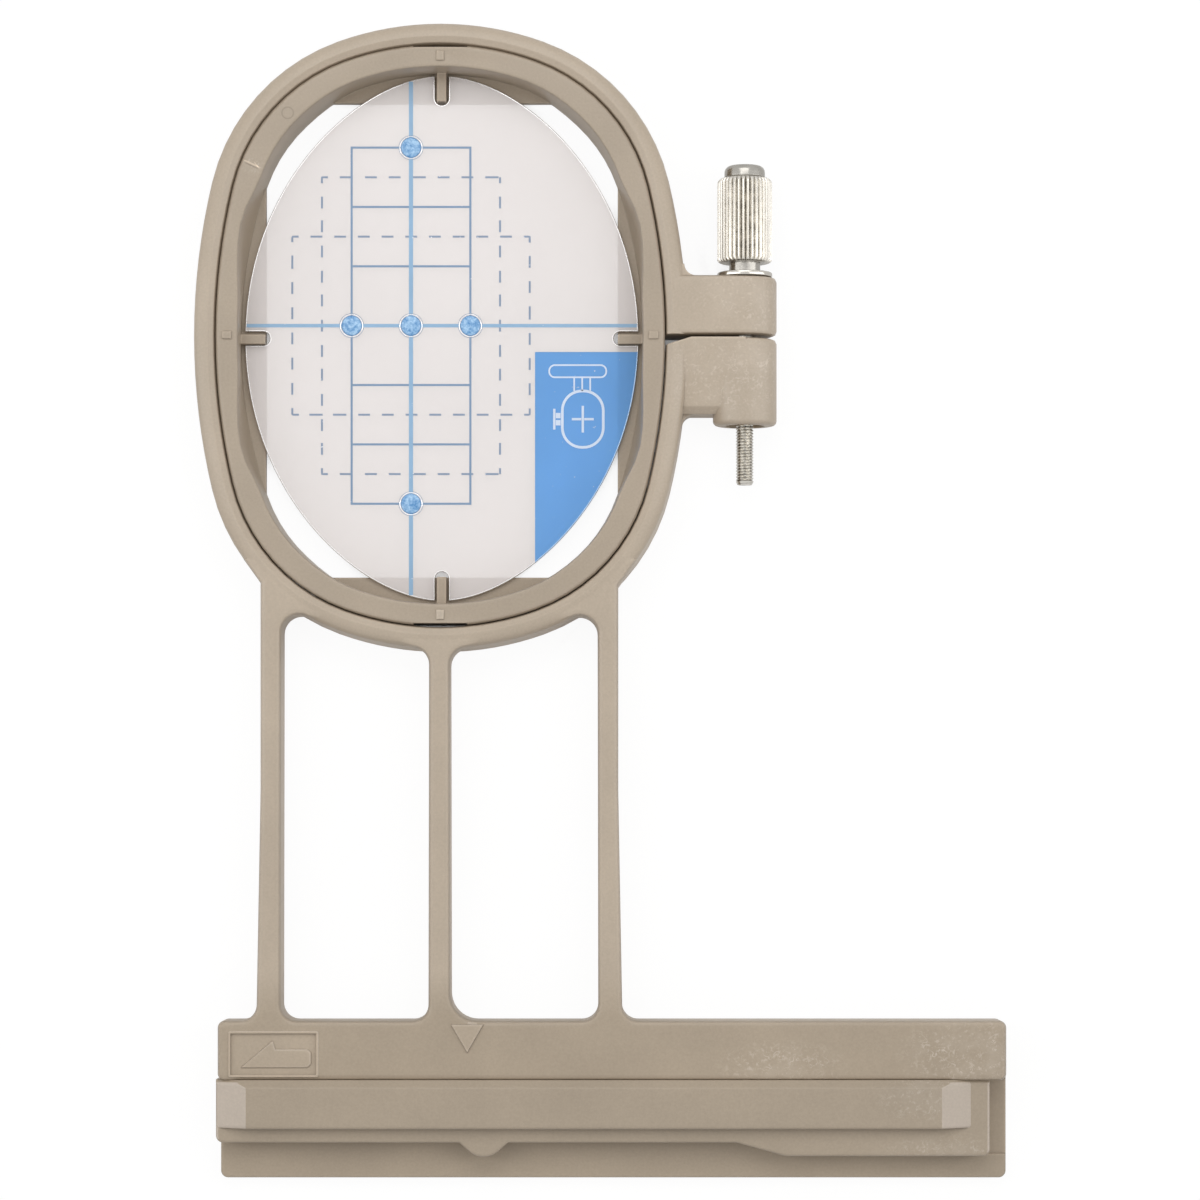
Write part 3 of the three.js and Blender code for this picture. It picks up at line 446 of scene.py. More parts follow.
def slab(bm, outline, low, high):
    """A flat plate from an outline of (x, y) points, between two heights, all in millimetres"""
    bottom = [bm.verts.new(ring_point(x, y, low)) for x, y in outline]
    top = [bm.verts.new(ring_point(x, y, high)) for x, y in outline]
    bm.faces.new(bottom[::-1])
    bm.faces.new(top)
    for i, corner in enumerate(bottom):
        j = (i + 1) % len(bottom)
        bm.faces.new((corner, bottom[j], top[j], top[i]))


def box_outline(x0, x1, y0, y1):
    return [(x0, y0), (x1, y0), (x1, y1), (x0, y1)]


def ribbon(bm, path, width, low, high):
    """A flat closed line of one width along a path of (x, y) points"""
    points = [Vector(p) for p in path]
    count = len(points)
    left, right = [], []
    for i, point in enumerate(points):
        arriving = (point - points[i - 1]).normalized()
        leaving = (points[(i + 1) % count] - point).normalized()
        way = (arriving + leaving).normalized()
        side = Vector((-way.y, way.x))
        reach = width / 2 / max(SHARPEST_MITRE, way.dot(arriving))
        left.append(point + side * reach)
        right.append(point - side * reach)
    rows = [
        [bm.verts.new(ring_point(*p, z)) for p in line]
        for line, z in ((right, low), (left, low), (left, high), (right, high))
    ]
    for i in range(count):
        j = (i + 1) % count
        for a, b in zip(rows, rows[1:] + rows[:1]):
            bm.faces.new((a[i], b[i], b[j], a[j]))


def closed_mesh(name, bm):
    """A mesh with its faces turned outwards"""
    bmesh.ops.recalc_face_normals(bm, faces=bm.faces)
    mesh = bpy.data.meshes.new(name)
    bm.to_mesh(mesh)
    bm.free()
    return mesh


# Geometry node trees
class Rule(NodeTree):
    """A geometry node tree with named inputs for its sizes"""

    def __init__(self, name, **inputs):
        super().__init__(bpy.data.node_groups.new(name, "GeometryNodeTree"))
        face = self.tree.interface
        face.new_socket("Geometry", in_out="INPUT", socket_type="NodeSocketGeometry")
        face.new_socket("Geometry", in_out="OUTPUT", socket_type="NodeSocketGeometry")
        for label, value in inputs.items():
            kind = "Int" if isinstance(value, int) else "Vector" if isinstance(value, tuple) else "Float"
            socket = face.new_socket(label, in_out="INPUT", socket_type="NodeSocket" + kind)
            socket.default_value = value
        self.given = self.add("NodeGroupInput").outputs
        self.out = self.add("NodeGroupOutput")

    def switch(self, choice, otherwise, chosen):
        inputs = {"Switch": choice, "False": otherwise, "True": chosen}
        return self.add("GeometryNodeSwitch", inputs, input_type="FLOAT").outputs[0]

    def finish(self, geometry, material):
        """Ends the tree in plain geometry of one finish"""
        realized = self.add("GeometryNodeRealizeInstances", {0: geometry}).outputs[0]
        coated = self.add("GeometryNodeSetMaterial", {"Geometry": realized, "Material": material})
        self.feed(self.out.inputs[0], coated.outputs[0])

    def make(self, name, mesh, **sizes):
        """A piece from this tree, at these sizes, as a plain closed mesh"""
        piece = new_piece(name, mesh)
        modifier = piece.modifiers.new(self.tree.name, "NODES")
        modifier.node_group = self.tree
        for item in self.tree.interface.items_tree:
            if item.in_out == "INPUT" and item.name in sizes:
                modifier[item.identifier] = sizes[item.name]
        made_plain(piece)
        bm = bmesh.new()
        bm.from_mesh(piece.data)
        bmesh.ops.remove_doubles(bm, verts=bm.verts, dist=FINE_WELD)
        bmesh.ops.recalc_face_normals(bm, faces=bm.faces)
        smooth_by_angle(bm)
        bm.to_mesh(piece.data)
        bm.free()
        return piece


def points_mesh(name, points):
    mesh = bpy.data.meshes.new(name)
    mesh.from_pydata([tuple(point) for point in points], [], [])
    return mesh


def profile_mesh(name, start, profile):
    """A turned piece's profile: radius and distance along Y from its start, in millimetres"""
    return points_mesh(name, [(r * MM, start + y * MM, 0) for r, y in profile])


def rounded(radius, y, edge, first, last, steps=6):
    """Profile points of a rounded corner about (radius, y), between two angles in degrees"""
    angles = [math.radians(first + (last - first) * i / steps) for i in range(steps + 1)]
    return [(radius + edge * math.cos(a), y + edge * math.sin(a)) for a in angles]


def turned_rule(name, finish, with_flutes=False, with_thread=False):
    """Turns a profile about the Y axis, with straight flutes or a helical thread in its side"""
    inputs = {"steps": ROUND_STEPS, "axis_x": 0.0, "axis_z": 0.0}
    if with_flutes:
        inputs |= {"flutes": GRIP_FLUTES, "ridge_share": RIDGE_SHARE}
        inputs |= {"flute_radius": 0.0, "flute_depth": 0.0}
    if with_thread:
        inputs |= {"pitch": 0.0, "thread_depth": 0.0, "thread_from": 0.0, "thread_to": 0.0}
    rule = Rule(name, **inputs)
    given = rule.given
    size = rule.add("GeometryNodeAttributeDomainSize", {"Geometry": given["Geometry"]}, component="MESH")
    rows = size.outputs["Point Count"]
    columns = rule.math("ADD", given["steps"], 1)
    grid = rule.add("GeometryNodeMeshGrid", {"Vertices X": columns, "Vertices Y": rows})
    index = rule.add("GeometryNodeInputIndex").outputs[0]
    row = rule.math("MODULO", index, rows)
    column = rule.math("FLOOR", rule.math("DIVIDE", index, rows))
    turn = rule.math("DIVIDE", column, given["steps"])
    sample = rule.add(
        "GeometryNodeSampleIndex", {"Geometry": given["Geometry"], "Index": row}, data_type="FLOAT_VECTOR"
    )
    rule.feed(sample.inputs["Value"], rule.add("GeometryNodeInputPosition").outputs[0])
    split = rule.add("ShaderNodeSeparateXYZ", {0: sample.outputs["Value"]})
    radius, along = split.outputs["X"], split.outputs["Y"]
    if with_flutes:
        phase = rule.math("FRACT", rule.math("MULTIPLY", turn, given["flutes"]))
        fall = rule.math("MULTIPLY", rule.math("ABSOLUTE", rule.math("SUBTRACT", phase, 0.5)), 2.0)
        depth = rule.remap(fall, given["ridge_share"], 1.0, 0.0, given["flute_depth"])
        radius = rule.math("MINIMUM", radius, rule.math("SUBTRACT", given["flute_radius"], depth))
    if with_thread:
        phase = rule.math("FRACT", rule.math("ADD", rule.math("DIVIDE", along, given["pitch"]), turn))
        fall = rule.math("MULTIPLY", rule.math("ABSOLUTE", rule.math("SUBTRACT", phase, 0.5)), 2.0)
        above = rule.math("GREATER_THAN", along, given["thread_from"])
        below = rule.math("LESS_THAN", along, given["thread_to"])
        cut = rule.math("MULTIPLY", rule.math("MULTIPLY", above, below), given["thread_depth"])
        radius = rule.math("SUBTRACT", radius, rule.math("MULTIPLY", fall, cut))
    angle = rule.math("MULTIPLY", turn, 2 * math.pi)
    x = rule.math("MULTIPLY", radius, rule.math("COSINE", angle))
    z = rule.math("MULTIPLY", radius, rule.math("SINE", angle))
    place = rule.add(
        "ShaderNodeCombineXYZ",
        {"X": rule.math("ADD", x, given["axis_x"]), "Y": along, "Z": rule.math("ADD", z, given["axis_z"])},
    )
    shaped = rule.add("GeometryNodeSetPosition", {"Geometry": grid.outputs[0]})
    rule.feed(shaped.inputs["Position"], place.outputs[0])
    rule.finish(shaped.outputs[0], finish)
    return rule


def dress(piece, body, slot, *nodes):
    """Fixes a piece to its body, in place of its solids. The slot is not used."""
    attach(piece, body)
    if nodes:
        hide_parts(*nodes)


# Mouldings
SLOPE_ANGLE = math.radians(20)
SEATED_BACK = 0.26
SNUG_WALL = 0.14
UPRIGHT_FACING = 0.95
BAR_TOP = 9.8
MARK_STEP = 0.02
MARK_SINK = 0.4
PANEL_SINK = 0.6
MARK_EDGE_AREA = 8
TICK_AREA = 6
TICK_REACH = 10
SLOPE_RISE = 0.8
SLOPE_LEAN = 0.3
LEVEL_FACING = 0.95
LEAN_FACING = 0.2

# Left, right and top of the place of each mark on the bar
MARK_PLACES = ((-35.3, -19.8, -115.9), (-0.5, 9.5, -114.75))


def seat_back(piece):
    """Brings the guide rail's back wall up to the band behind it"""
    back = max(vert.co.y for vert in piece.data.vertices)
    for vert in piece.data.vertices:
        if back - vert.co.y < WELD:
            vert.co.y += SEATED_BACK * MM


def pale_marks(piece):
    """Pales the edges of the bar's moulded marks as a painted highlight, and the top of its triangle and
    the floor of its panel
    """
    mesh = piece.data
    mesh.materials.append(mark_plastic)
    mesh.materials.append(panel_plastic)
    for face in mesh.polygons:
        x, y, _ = (face.center - ring_centre) / MM
        on_mark = any(left < x < right and y < top for left, right, top in MARK_PLACES)
        raised = face.center.z > (BAR_TOP + MARK_STEP) * MM
        leaning = LEAN_FACING < face.normal.z < LEVEL_FACING
        sunk_edge = face.center.z > (BAR_TOP - MARK_SINK) * MM and leaning
        sunk = BAR_TOP - PANEL_SINK < face.center.z / MM < BAR_TOP - MARK_STEP
        if on_mark and (raised or sunk_edge and face.area < MARK_EDGE_AREA * MM * MM):
            face.material_index = 1
        if on_mark and (raised or sunk) and face.normal.z > LEVEL_FACING:
            face.material_index = 2


def pale_tick(piece):
    """Pales the tick on the inner ring nearest the bar"""
    mesh = piece.data
    mesh.materials.append(mark_plastic)
    for face in mesh.polygons:
        raised = ring_high.z - face.center.z < MARK_STEP * MM and face.area < TICK_AREA * MM * MM
        near_bar = face.center.y < ring_low.y + TICK_REACH * MM
        if raised and near_bar and face.normal.z > LEVEL_FACING:
            face.material_index = 1


def sheen_slopes(piece):
    """Paints a sheen on the sloped ends of the guide rail, as a paler tone"""
    mesh = piece.data
    mesh.materials.append(rubbed_plastic)
    for face in mesh.polygons:
        if face.normal.z > SLOPE_RISE and abs(face.normal.x) > SLOPE_LEAN:
            face.material_index = 1


def fit_snugly(piece):
    """Brings the inner ring's outer wall close to the outer ring"""
    mesh = piece.data
    ways = {}
    for face in mesh.polygons:
        way = Vector((face.normal.x, face.normal.y, 0))
        if way.length > UPRIGHT_FACING and way.dot(face.center - ring_centre) > 0:
            for index in face.vertices:
                ways[index] = ways.get(index, Vector()) + way.normalized() * face.area
    for index, way in ways.items():
        mesh.vertices[index].co += way.normalized() * SNUG_WALL * MM


outer_frame = merged_copy("outer_frame_moulding", "outer_frame", frame_plastic)
pale_marks(outer_frame)
dress(outer_frame, "frame", "moulded_plastic", "outer_frame")
guide_rail = merged_copy("guide_rail_moulding", "guide_rail", rail_plastic, SLOPE_ANGLE)
seat_back(guide_rail)
sheen_slopes(guide_rail)
dress(guide_rail, "frame", "moulded_plastic", "guide_rail")
inner_ring = merged_copy("inner_ring_moulding", "inner_ring", inner_plastic)
fit_snugly(inner_ring)
pale_tick(inner_ring)
dress(inner_ring, "inner_ring", "moulded_plastic", "inner_ring")

# Template sheet
SHEET_HALF_WIDTH = 33.15
SHEET_HALF_LENGTH = 44.25
SHEET_TOP_HANDLE = 13.2
SHEET_SIDE_HANDLE = 27
SHEET_REST = 0.25
SLOT_HALF = 1.15
SIDE_SLOT_END = 28.95
END_SLOT_END = 39.3
SHEET_EDGE = 0.12
BRIGHT_RIM = 0.1
CORNER_CLEARANCE = 0.9
HALVINGS = 40
LABEL_LEFT = 15.7
LABEL_TOP = -2.03
sheet_bottom = sheet_low.z / MM
sheet_top = sheet_high.z / MM


def sheet_quarter(t):
    """A point of the sheet's outline, from its right end at 0 to its top at 1"""
    a, b, c, d = (1 - t) ** 3, 3 * t * (1 - t) ** 2, 3 * t * t * (1 - t), t**3
    x = (a + b) * SHEET_HALF_WIDTH + c * SHEET_TOP_HANDLE
    y = b * SHEET_SIDE_HANDLE + (c + d) * SHEET_HALF_LENGTH
    return x, y


def quarter_at(axis, value):
    """Where along the quarter outline its x or y takes a value"""
    low, high = 0.0, 1.0
    rising = axis == 1
    for _ in range(HALVINGS):
        middle = (low + high) / 2
        if (sheet_quarter(middle)[axis] < value) == rising:
            low = middle
        else:
            high = middle
    return (low + high) / 2


def quarter_points(first, last, steps=40):
    return [sheet_quarter(first + (last - first) * i / steps) for i in range(steps + 1)]


def sheet_outline():
    """The sheet's outline with a round-ended slot in each side and end"""
    steps = 6
    turns = [math.pi / 2 * i / steps for i in range(steps + 1)]
    r = SLOT_HALF
    side = [(SIDE_SLOT_END + r - r * math.cos(a), r * math.sin(a)) for a in turns]
    end = [(r * math.sin(a), END_SLOT_END + r - r * math.cos(a)) for a in turns]
    quarter = side + quarter_points(quarter_at(1, r), quarter_at(0, r)) + end[::-1]
    outline = quarter[:-1]
    outline += [(-x, y) for x, y in quarter[:0:-1]]
    outline += [(-x, -y) for x, y in quarter[:-1]]
    outline += [(x, -y) for x, y in quarter[:0:-1]]
    return [(x, y + SHEET_REST) for x, y in outline]


def split_outline():
    """The outline of the sheet's clear part, and that of its label"""
    low = SHEET_REST - sheet_quarter(quarter_at(0, LABEL_LEFT))[1]
    right = sheet_quarter(quarter_at(1, SHEET_REST - LABEL_TOP))[0]
    corners = [(LABEL_LEFT, low), (LABEL_LEFT, LABEL_TOP), (right, LABEL_TOP)]
    outline = sheet_outline()
    covered = [x > LABEL_LEFT and y < LABEL_TOP for x, y in outline]
    first = covered.index(True)
    last = len(covered) - covered[::-1].index(True)

    def clear_of_corners(points):
        ends = (Vector(corners[0]), Vector(corners[2]))
        return [p for p in points if min((Vector(p) - end).length for end in ends) > CORNER_CLEARANCE]

    before, label, after = (
        clear_of_corners(part) for part in (outline[:first], outline[first:last], outline[last:])
    )
    return before + corners + after, label + corners[::-1]


def sheet_part(name, outline, face_finish, rim_finish):
    """A part of the sheet, with its outer rims rounded and left clear"""
    bm = bmesh.new()
    slab(bm, outline, sheet_bottom, sheet_top)
    bm.normal_update()
    seam = ring_point(LABEL_LEFT, LABEL_TOP, 0)
    rims = []
    for edge in bm.edges:
        a, b = (vert.co for vert in edge.verts)
        on_seam = any(max(abs(a[i] - seam[i]), abs(b[i] - seam[i])) < WELD for i in (0, 1))
        if abs(a.z - b.z) < WELD and not on_seam:
            rims.append(edge)
    bmesh.ops.bevel(bm, geom=rims, offset=SHEET_EDGE * MM, segments=2, profile=0.5, affect="EDGES")
    bm.normal_update()
    # A thin flat strip round the top takes the bright rim finish too: a painted highlight along the edge
    top = [face for face in bm.faces if face.normal.z > FLAT_FACING]
    rim = set(bmesh.ops.inset_region(bm, faces=top, thickness=BRIGHT_RIM * MM)["faces"])
    for face in bm.faces:
        at_seam = min(abs(face.calc_center_median()[i] - seam[i]) for i in (0, 1)) < BRIGHT_RIM * MM
        flat = abs(face.normal.z) > FLAT_FACING and (face not in rim or at_seam)
        face.material_index = 0 if flat else 1
    smooth_by_angle(bm)
    for face in bm.faces:
        face.smooth = abs(face.normal.z) < FLAT_FACING
    return new_piece(name, closed_mesh(name, bm), face_finish, rim_finish)


film_outline, label_outline = split_outline()
template_film = sheet_part("template_film", film_outline, sheet_film, sheet_edge)
template_label = sheet_part("template_label", label_outline, label_blue, label_edge)
dress(template_film, "template", "clear_sheet", "template_sheet")
dress(template_label, "template", "clear_sheet", "template_sheet")

# Print on the sheet, round its own centre
PRINT_X = -5.19
PRINT_Y = 2.4
PRINT_SINK = 0.01
FIELD_WIDTH = 20
FIELD_LENGTH = 60
RULINGS = (-20, -10, 10, 20)
UPRIGHT_WIDTH = 0.7
LEVEL_WIDTH = 0.58
THIN_WIDTH = 0.36
PRINT_INSET = 0.2
UPRIGHT_RISE = 0.03
LEVEL_RISE = 0.027
FIELD_RISE = 0.024
RULING_RISE = 0.021


def centre_lines():
    """The crossed centre lines, from edge to edge"""
    bm = bmesh.new()
    low = sheet_top - PRINT_SINK
    edge = sheet_quarter(quarter_at(0, -PRINT_X))[1] - PRINT_INSET
    left, right = PRINT_X - UPRIGHT_WIDTH / 2, PRINT_X + UPRIGHT_WIDTH / 2
    upright = box_outline(left, right, SHEET_REST - edge, SHEET_REST + edge)
    slab(bm, upright, low, sheet_top + UPRIGHT_RISE)
    edge = sheet_quarter(quarter_at(1, PRINT_Y))[0] - PRINT_INSET
    level = box_outline(-edge, edge, PRINT_Y - LEVEL_WIDTH / 2, PRINT_Y + LEVEL_WIDTH / 2)
    slab(bm, level, low, sheet_top + LEVEL_RISE)
    return new_piece("centre_lines", closed_mesh("centre_lines", bm), line_ink)


def ruled_field():
    """The long field, ruled across"""
    bm = bmesh.new()
    low = sheet_top - PRINT_SINK
    left, right = PRINT_X - FIELD_WIDTH / 2, PRINT_X + FIELD_WIDTH / 2
    bottom, top = PRINT_Y - FIELD_LENGTH / 2, PRINT_Y + FIELD_LENGTH / 2
    ribbon(bm, box_outline(left, right, bottom, top), THIN_WIDTH, low, sheet_top + FIELD_RISE)
    for ruling in RULINGS:
        y = PRINT_Y + ruling
        line = box_outline(left, right, y - THIN_WIDTH / 2, y + THIN_WIDTH / 2)
        slab(bm, line, low, sheet_top + RULING_RISE)
    return new_piece("ruled_field", closed_mesh("ruled_field", bm), thin_ink)


dress(centre_lines(), "template", "clear_sheet")
dress(ruled_field(), "template", "clear_sheet")


def dash_rule(finish):
    """A broken line of one width round a rectangle, with a dash round its upper left corner"""
    rule = Rule("dashed_field", centre=(0.0, 0.0, 0.0), width=0.0, length=0.0, step=0.0, pitch_across=0.0,
                pitch_down=0.0, dash=0.0, line_width=0.0, line_height=0.0)
    given = rule.given
    field = rule.add("GeometryNodeCurvePrimitiveQuadrilateral",
                     {"Width": given["width"], "Height": given["length"]}, mode="RECTANGLE")
    stepped = rule.add("GeometryNodeResampleCurve", {"Curve": field.outputs[0], "Length": given["step"]},
                       mode="LENGTH")
    wire = rule.add("GeometryNodeCurveToMesh", {"Curve": stepped.outputs[0]})
    place = rule.add("ShaderNodeSeparateXYZ", {0: rule.add("GeometryNodeInputPosition").outputs[0]}).outputs
    half_width = rule.math("MULTIPLY", given["width"], 0.5)
    half_length = rule.math("MULTIPLY", given["length"], 0.5)
    inside = rule.math("SUBTRACT", half_length, rule.math("ABSOLUTE", place["Y"]))
    level = rule.math("LESS_THAN", inside, rule.math("MULTIPLY", given["step"], 0.25))
    across = rule.math("ADD", place["X"], half_width)
    down = rule.math("SUBTRACT", half_length, place["Y"])
    pitch = rule.switch(level, given["pitch_down"], given["pitch_across"])
    along = rule.math("DIVIDE", rule.switch(level, down, across), pitch)
    part = rule.math("SUBTRACT", rule.math("FRACT", rule.math("ADD", along, 0.5)), 0.5)
    reach = rule.math("MULTIPLY", rule.math("DIVIDE", given["dash"], pitch), 0.5)
    gap = rule.math("GREATER_THAN", rule.math("ABSOLUTE", part), reach)
    broken = rule.add("GeometryNodeDeleteGeometry", {"Geometry": wire.outputs[0], "Selection": gap},
                      domain="EDGE")
    lines = rule.add("GeometryNodeMeshToCurve", {"Mesh": broken.outputs[0]})
    bar = rule.add("GeometryNodeCurvePrimitiveQuadrilateral",
                   {"Width": given["line_width"], "Height": given["line_height"]}, mode="RECTANGLE")
    dashes = rule.add("GeometryNodeCurveToMesh",
                      {"Curve": lines.outputs[0], "Profile Curve": bar.outputs[0], "Fill Caps": True})
    placed = rule.add("GeometryNodeTransform", {"Geometry": dashes.outputs[0]})
    rule.feed(placed.inputs["Translation"], given["centre"])
    rule.finish(placed.outputs[0], finish)
    return rule


DASH_LENGTH = 2.03
DASH_WIDTH = 0.34
DASH_HEIGHT = 0.03
DASH_STEP = 0.25

# Name, width and length of each dashed field, and the pitch of its dashes across and down
DASHED_FIELDS = (
    ("dashes_30_by_50", 30, 50, 4.09, 50 / 12),
    ("dashes_40_by_30", 40, 30, 40 / 10, 30 / 7),
)
dashed_field = dash_rule(dash_ink)
for name, width, length, across, down in DASHED_FIELDS:
    piece = dashed_field.make(
        name, points_mesh(name, []),
        centre=ring_point(PRINT_X, PRINT_Y, sheet_top), width=width * MM, length=length * MM,
        step=DASH_STEP * MM, pitch_across=across * MM, pitch_down=down * MM, dash=DASH_LENGTH * MM,
        line_width=DASH_WIDTH * MM, line_height=DASH_HEIGHT * MM,
    )
    dress(piece, "template", "clear_sheet")


DOT_RADIUS = 1.68
DOT_RISE = 0.32
WIRE_STEPS = 8

# Name, finish, radius and rise of each ring round a dot
DOT_RINGS = (
    ("dot_borders", dot_border, 1.62, 0.1),
    ("dot_rims", sheet_edge, 1.87, 0.08),
    ("dot_outlines", dash_ink, 2.04, 0.04),
)


def dot_rule(name, finish, with_rim=False):
    """A flat dome, or the raised rim round it, at each point given"""
    rule = Rule(name, radius=0.0, rise=0.0)
    given = rule.given
    if with_rim:
        circle = rule.add("GeometryNodeCurvePrimitiveCircle", {"Radius": given["radius"]})
        wire = rule.add("GeometryNodeCurvePrimitiveCircle", {"Radius": given["rise"]})
        for part, steps in ((circle, ROUND_STEPS), (wire, WIRE_STEPS)):
            rule.feed(part.inputs["Resolution"], steps)
        shape = rule.add("GeometryNodeCurveToMesh",
                         {"Curve": circle.outputs[0], "Profile Curve": wire.outputs[0]}).outputs[0]
    else:
        ball = rule.add("GeometryNodeMeshUVSphere",
                        {"Segments": ROUND_STEPS, "Rings": ROUND_STEPS // 2, "Radius": given["radius"]})
        flat = rule.add("ShaderNodeCombineXYZ", {"X": 1.0, "Y": 1.0})
        rule.feed(flat.inputs["Z"], rule.math("DIVIDE", given["rise"], given["radius"]))
        shape = rule.add("GeometryNodeTransform",
                         {"Geometry": ball.outputs[0], "Scale": flat.outputs[0]}).outputs[0]
    points = rule.add("GeometryNodeMeshToPoints", {"Mesh": given["Geometry"]})
    placed = rule.add("GeometryNodeInstanceOnPoints", {"Points": points.outputs[0], "Instance": shape})
    rule.finish(placed.outputs[0], finish)
    return rule


def dot_places():
    """The middle of the field, of its sides and of its ends"""
    half_width, half_length = FIELD_WIDTH / 2, FIELD_LENGTH / 2
    offsets = ((0, half_length), (-half_width, 0), (0, 0), (half_width, 0), (0, -half_length))
    return [ring_point(PRINT_X + x, PRINT_Y + y, sheet_top) for x, y in offsets]


dots = dot_rule("print_dots", dot_blue).make(
    "print_dots", points_mesh("print_dots", dot_places()), radius=DOT_RADIUS * MM, rise=DOT_RISE * MM)
dress(dots, "template", "clear_sheet")
for name, finish, radius, rise in DOT_RINGS:
    ring = dot_rule(name, finish, with_rim=True).make(
        name, points_mesh(name, dot_places()), radius=radius * MM, rise=rise * MM)
    dress(ring, "template", "clear_sheet")

# Sketch of the hoop on the label, its blocks given by left, right, bottom and top
SKETCH_RISE = 0.035
SKETCH_LINE = 0.28
SKETCH_BAND = 0.45
SKETCH_BAR = (18.1, 27.7, -6.3, -4.25)
SKETCH_BAR_ROUND = 0.95
SKETCH_ARMS = (22.3, 23.65, 25.0)
SKETCH_ARM_FOOT = -8.6
SKETCH_ARM_HEAD = -6.45
SKETCH_RING = (20.3, 27.2, -18.1, -8.6)
SKETCH_RING_ROUND = 3.3
SKETCH_CLAMP = ((19.2, 20.0, -13.2, -12.3), (19.2, 20.0, -14.4, -13.5), (18.75, 19.15, -15.1, -11.6))
SKETCH_CROSS = ((23.55, 23.95, -15.6, -11.1), (21.9, 23.5, -13.55, -13.15), (24.0, 25.6, -13.55, -13.15))


def stadium(x0, x1, y0, y1, radius, steps=10):
    """A rectangle with round corners, as (x, y) points"""
    points = []
    for x, y, first in ((x1, y1, 0), (x0, y1, 90), (x0, y0, 180), (x1, y0, 270)):
        cx = x - radius if x == x1 else x + radius
        cy = y - radius if y == y1 else y + radius
        points += rounded(cx, cy, radius, first, first + 90, steps)
    return points


def hoop_sketch():
    """A small line sketch of a hoop: bar, three arms, ring, clamp and centre cross"""
    bm = bmesh.new()
    low, high = sheet_top - PRINT_SINK, sheet_top + SKETCH_RISE
    ribbon(bm, stadium(*SKETCH_BAR, SKETCH_BAR_ROUND), SKETCH_LINE, low, high)
    for x in SKETCH_ARMS:
        arm = box_outline(x - SKETCH_LINE / 2, x + SKETCH_LINE / 2, SKETCH_ARM_FOOT, SKETCH_ARM_HEAD)
        slab(bm, arm, low, high)
    ribbon(bm, stadium(*SKETCH_RING, SKETCH_RING_ROUND), SKETCH_BAND, low, high)
    for block in SKETCH_CLAMP + SKETCH_CROSS:
        slab(bm, box_outline(*block), low, high)
    return new_piece("hoop_sketch", closed_mesh("hoop_sketch", bm), label_white)


dress(hoop_sketch(), "template", "clear_sheet")

# Clamp screw set
GRIP_RADIUS = 4.6
GRIP_BORE = 2.54
GRIP_ROUND = 0.7
GRIP_SHOULDER = 1.0
FLUTE_DEPTH = 0.5
FLUTE_STEPS = 8
STUD_RADIUS = 1.5
STUD_TIP = 0.6
NECK_RADIUS = 2.6
CORE_RADIUS = 2.5
CAP_RADIUS = 3.4
CAP_ROUND = 1.1
THREAD_DEPTH = 0.27
THREAD_ROWS = 8
WASHER_RADIUS = 4.6
WASHER_BORE = 1.65
WASHER_EDGE = 0.18
WASHER_STEPS = 96
NUT_RADIUS = 2.8
NUT_BORE = 1.55
NUT_EDGE = 0.25
NUT_FLUTES = 24
NUT_FLUTE_DEPTH = 0.15
NUT_FLUTE_STEPS = 6
NECK_CLEARANCE = 0.05
CAP_EDGE = 0.15
PRESS_GAP = 0.04
axis_place = {"axis_x": clamp_axis.x, "axis_z": clamp_axis.z}


def knurled_grip():
    """The thumbscrew's sleeve, with straight flutes and a round shoulder"""
    length = (grip_high.y - grip_low.y) / MM
    foot = rounded(GRIP_RADIUS - GRIP_ROUND, GRIP_ROUND, GRIP_ROUND, -90, 0, 10)
    shoulder = rounded(GRIP_RADIUS - GRIP_SHOULDER, length - GRIP_SHOULDER, GRIP_SHOULDER, 0, 90, 10)
    profile = [(GRIP_BORE, 0), *foot, *shoulder, (GRIP_BORE, length), (GRIP_BORE, 0)]
    rule = turned_rule("straight_knurl", knurled_nickel, with_flutes=True)
    return rule.make(
        "knurled_grip", profile_mesh("knurled_grip", grip_low.y, profile), steps=GRIP_FLUTES * FLUTE_STEPS,
        flutes=GRIP_FLUTES, flute_radius=GRIP_RADIUS * MM, flute_depth=FLUTE_DEPTH * MM, **axis_place)


def threaded_screw():
    """The clamp screw: threaded stud, neck, core and cap"""
    neck = (washer_high.y - screw_low.y) / MM + NECK_CLEARANCE
    grip_foot = (grip_low.y - screw_low.y) / MM - PRESS_GAP
    grip_top = (grip_high.y - screw_low.y) / MM + PRESS_GAP
    top = (screw_high.y - screw_low.y) / MM
    rows = int(THREAD_LENGTH / THREAD_PITCH * THREAD_ROWS)
    stud = [(STUD_RADIUS, STUD_TIP + (THREAD_LENGTH - STUD_TIP) * i / rows) for i in range(rows + 1)]
    cap = rounded(CAP_RADIUS - CAP_ROUND, top - CAP_ROUND, CAP_ROUND, 0, 90)
    profile = [
        (0, 0), (STUD_RADIUS - STUD_TIP / 2, 0), *stud, (STUD_RADIUS, neck), (NECK_RADIUS, neck),
        (NECK_RADIUS, grip_foot), (CORE_RADIUS, grip_foot), (CORE_RADIUS, grip_top),
        (CAP_RADIUS - CAP_EDGE, grip_top), (CAP_RADIUS, grip_top + CAP_EDGE), *cap, (0, top),
    ]
    rule = turned_rule("screw_thread", threaded_nickel, with_thread=True)
    return rule.make(
        "threaded_clamp_screw", profile_mesh("threaded_clamp_screw", screw_low.y, profile),
        steps=ROUND_STEPS, pitch=THREAD_PITCH * MM, thread_depth=THREAD_DEPTH * MM,
        thread_from=screw_low.y + STUD_TIP * MM, thread_to=screw_low.y + THREAD_LENGTH * MM, **axis_place)


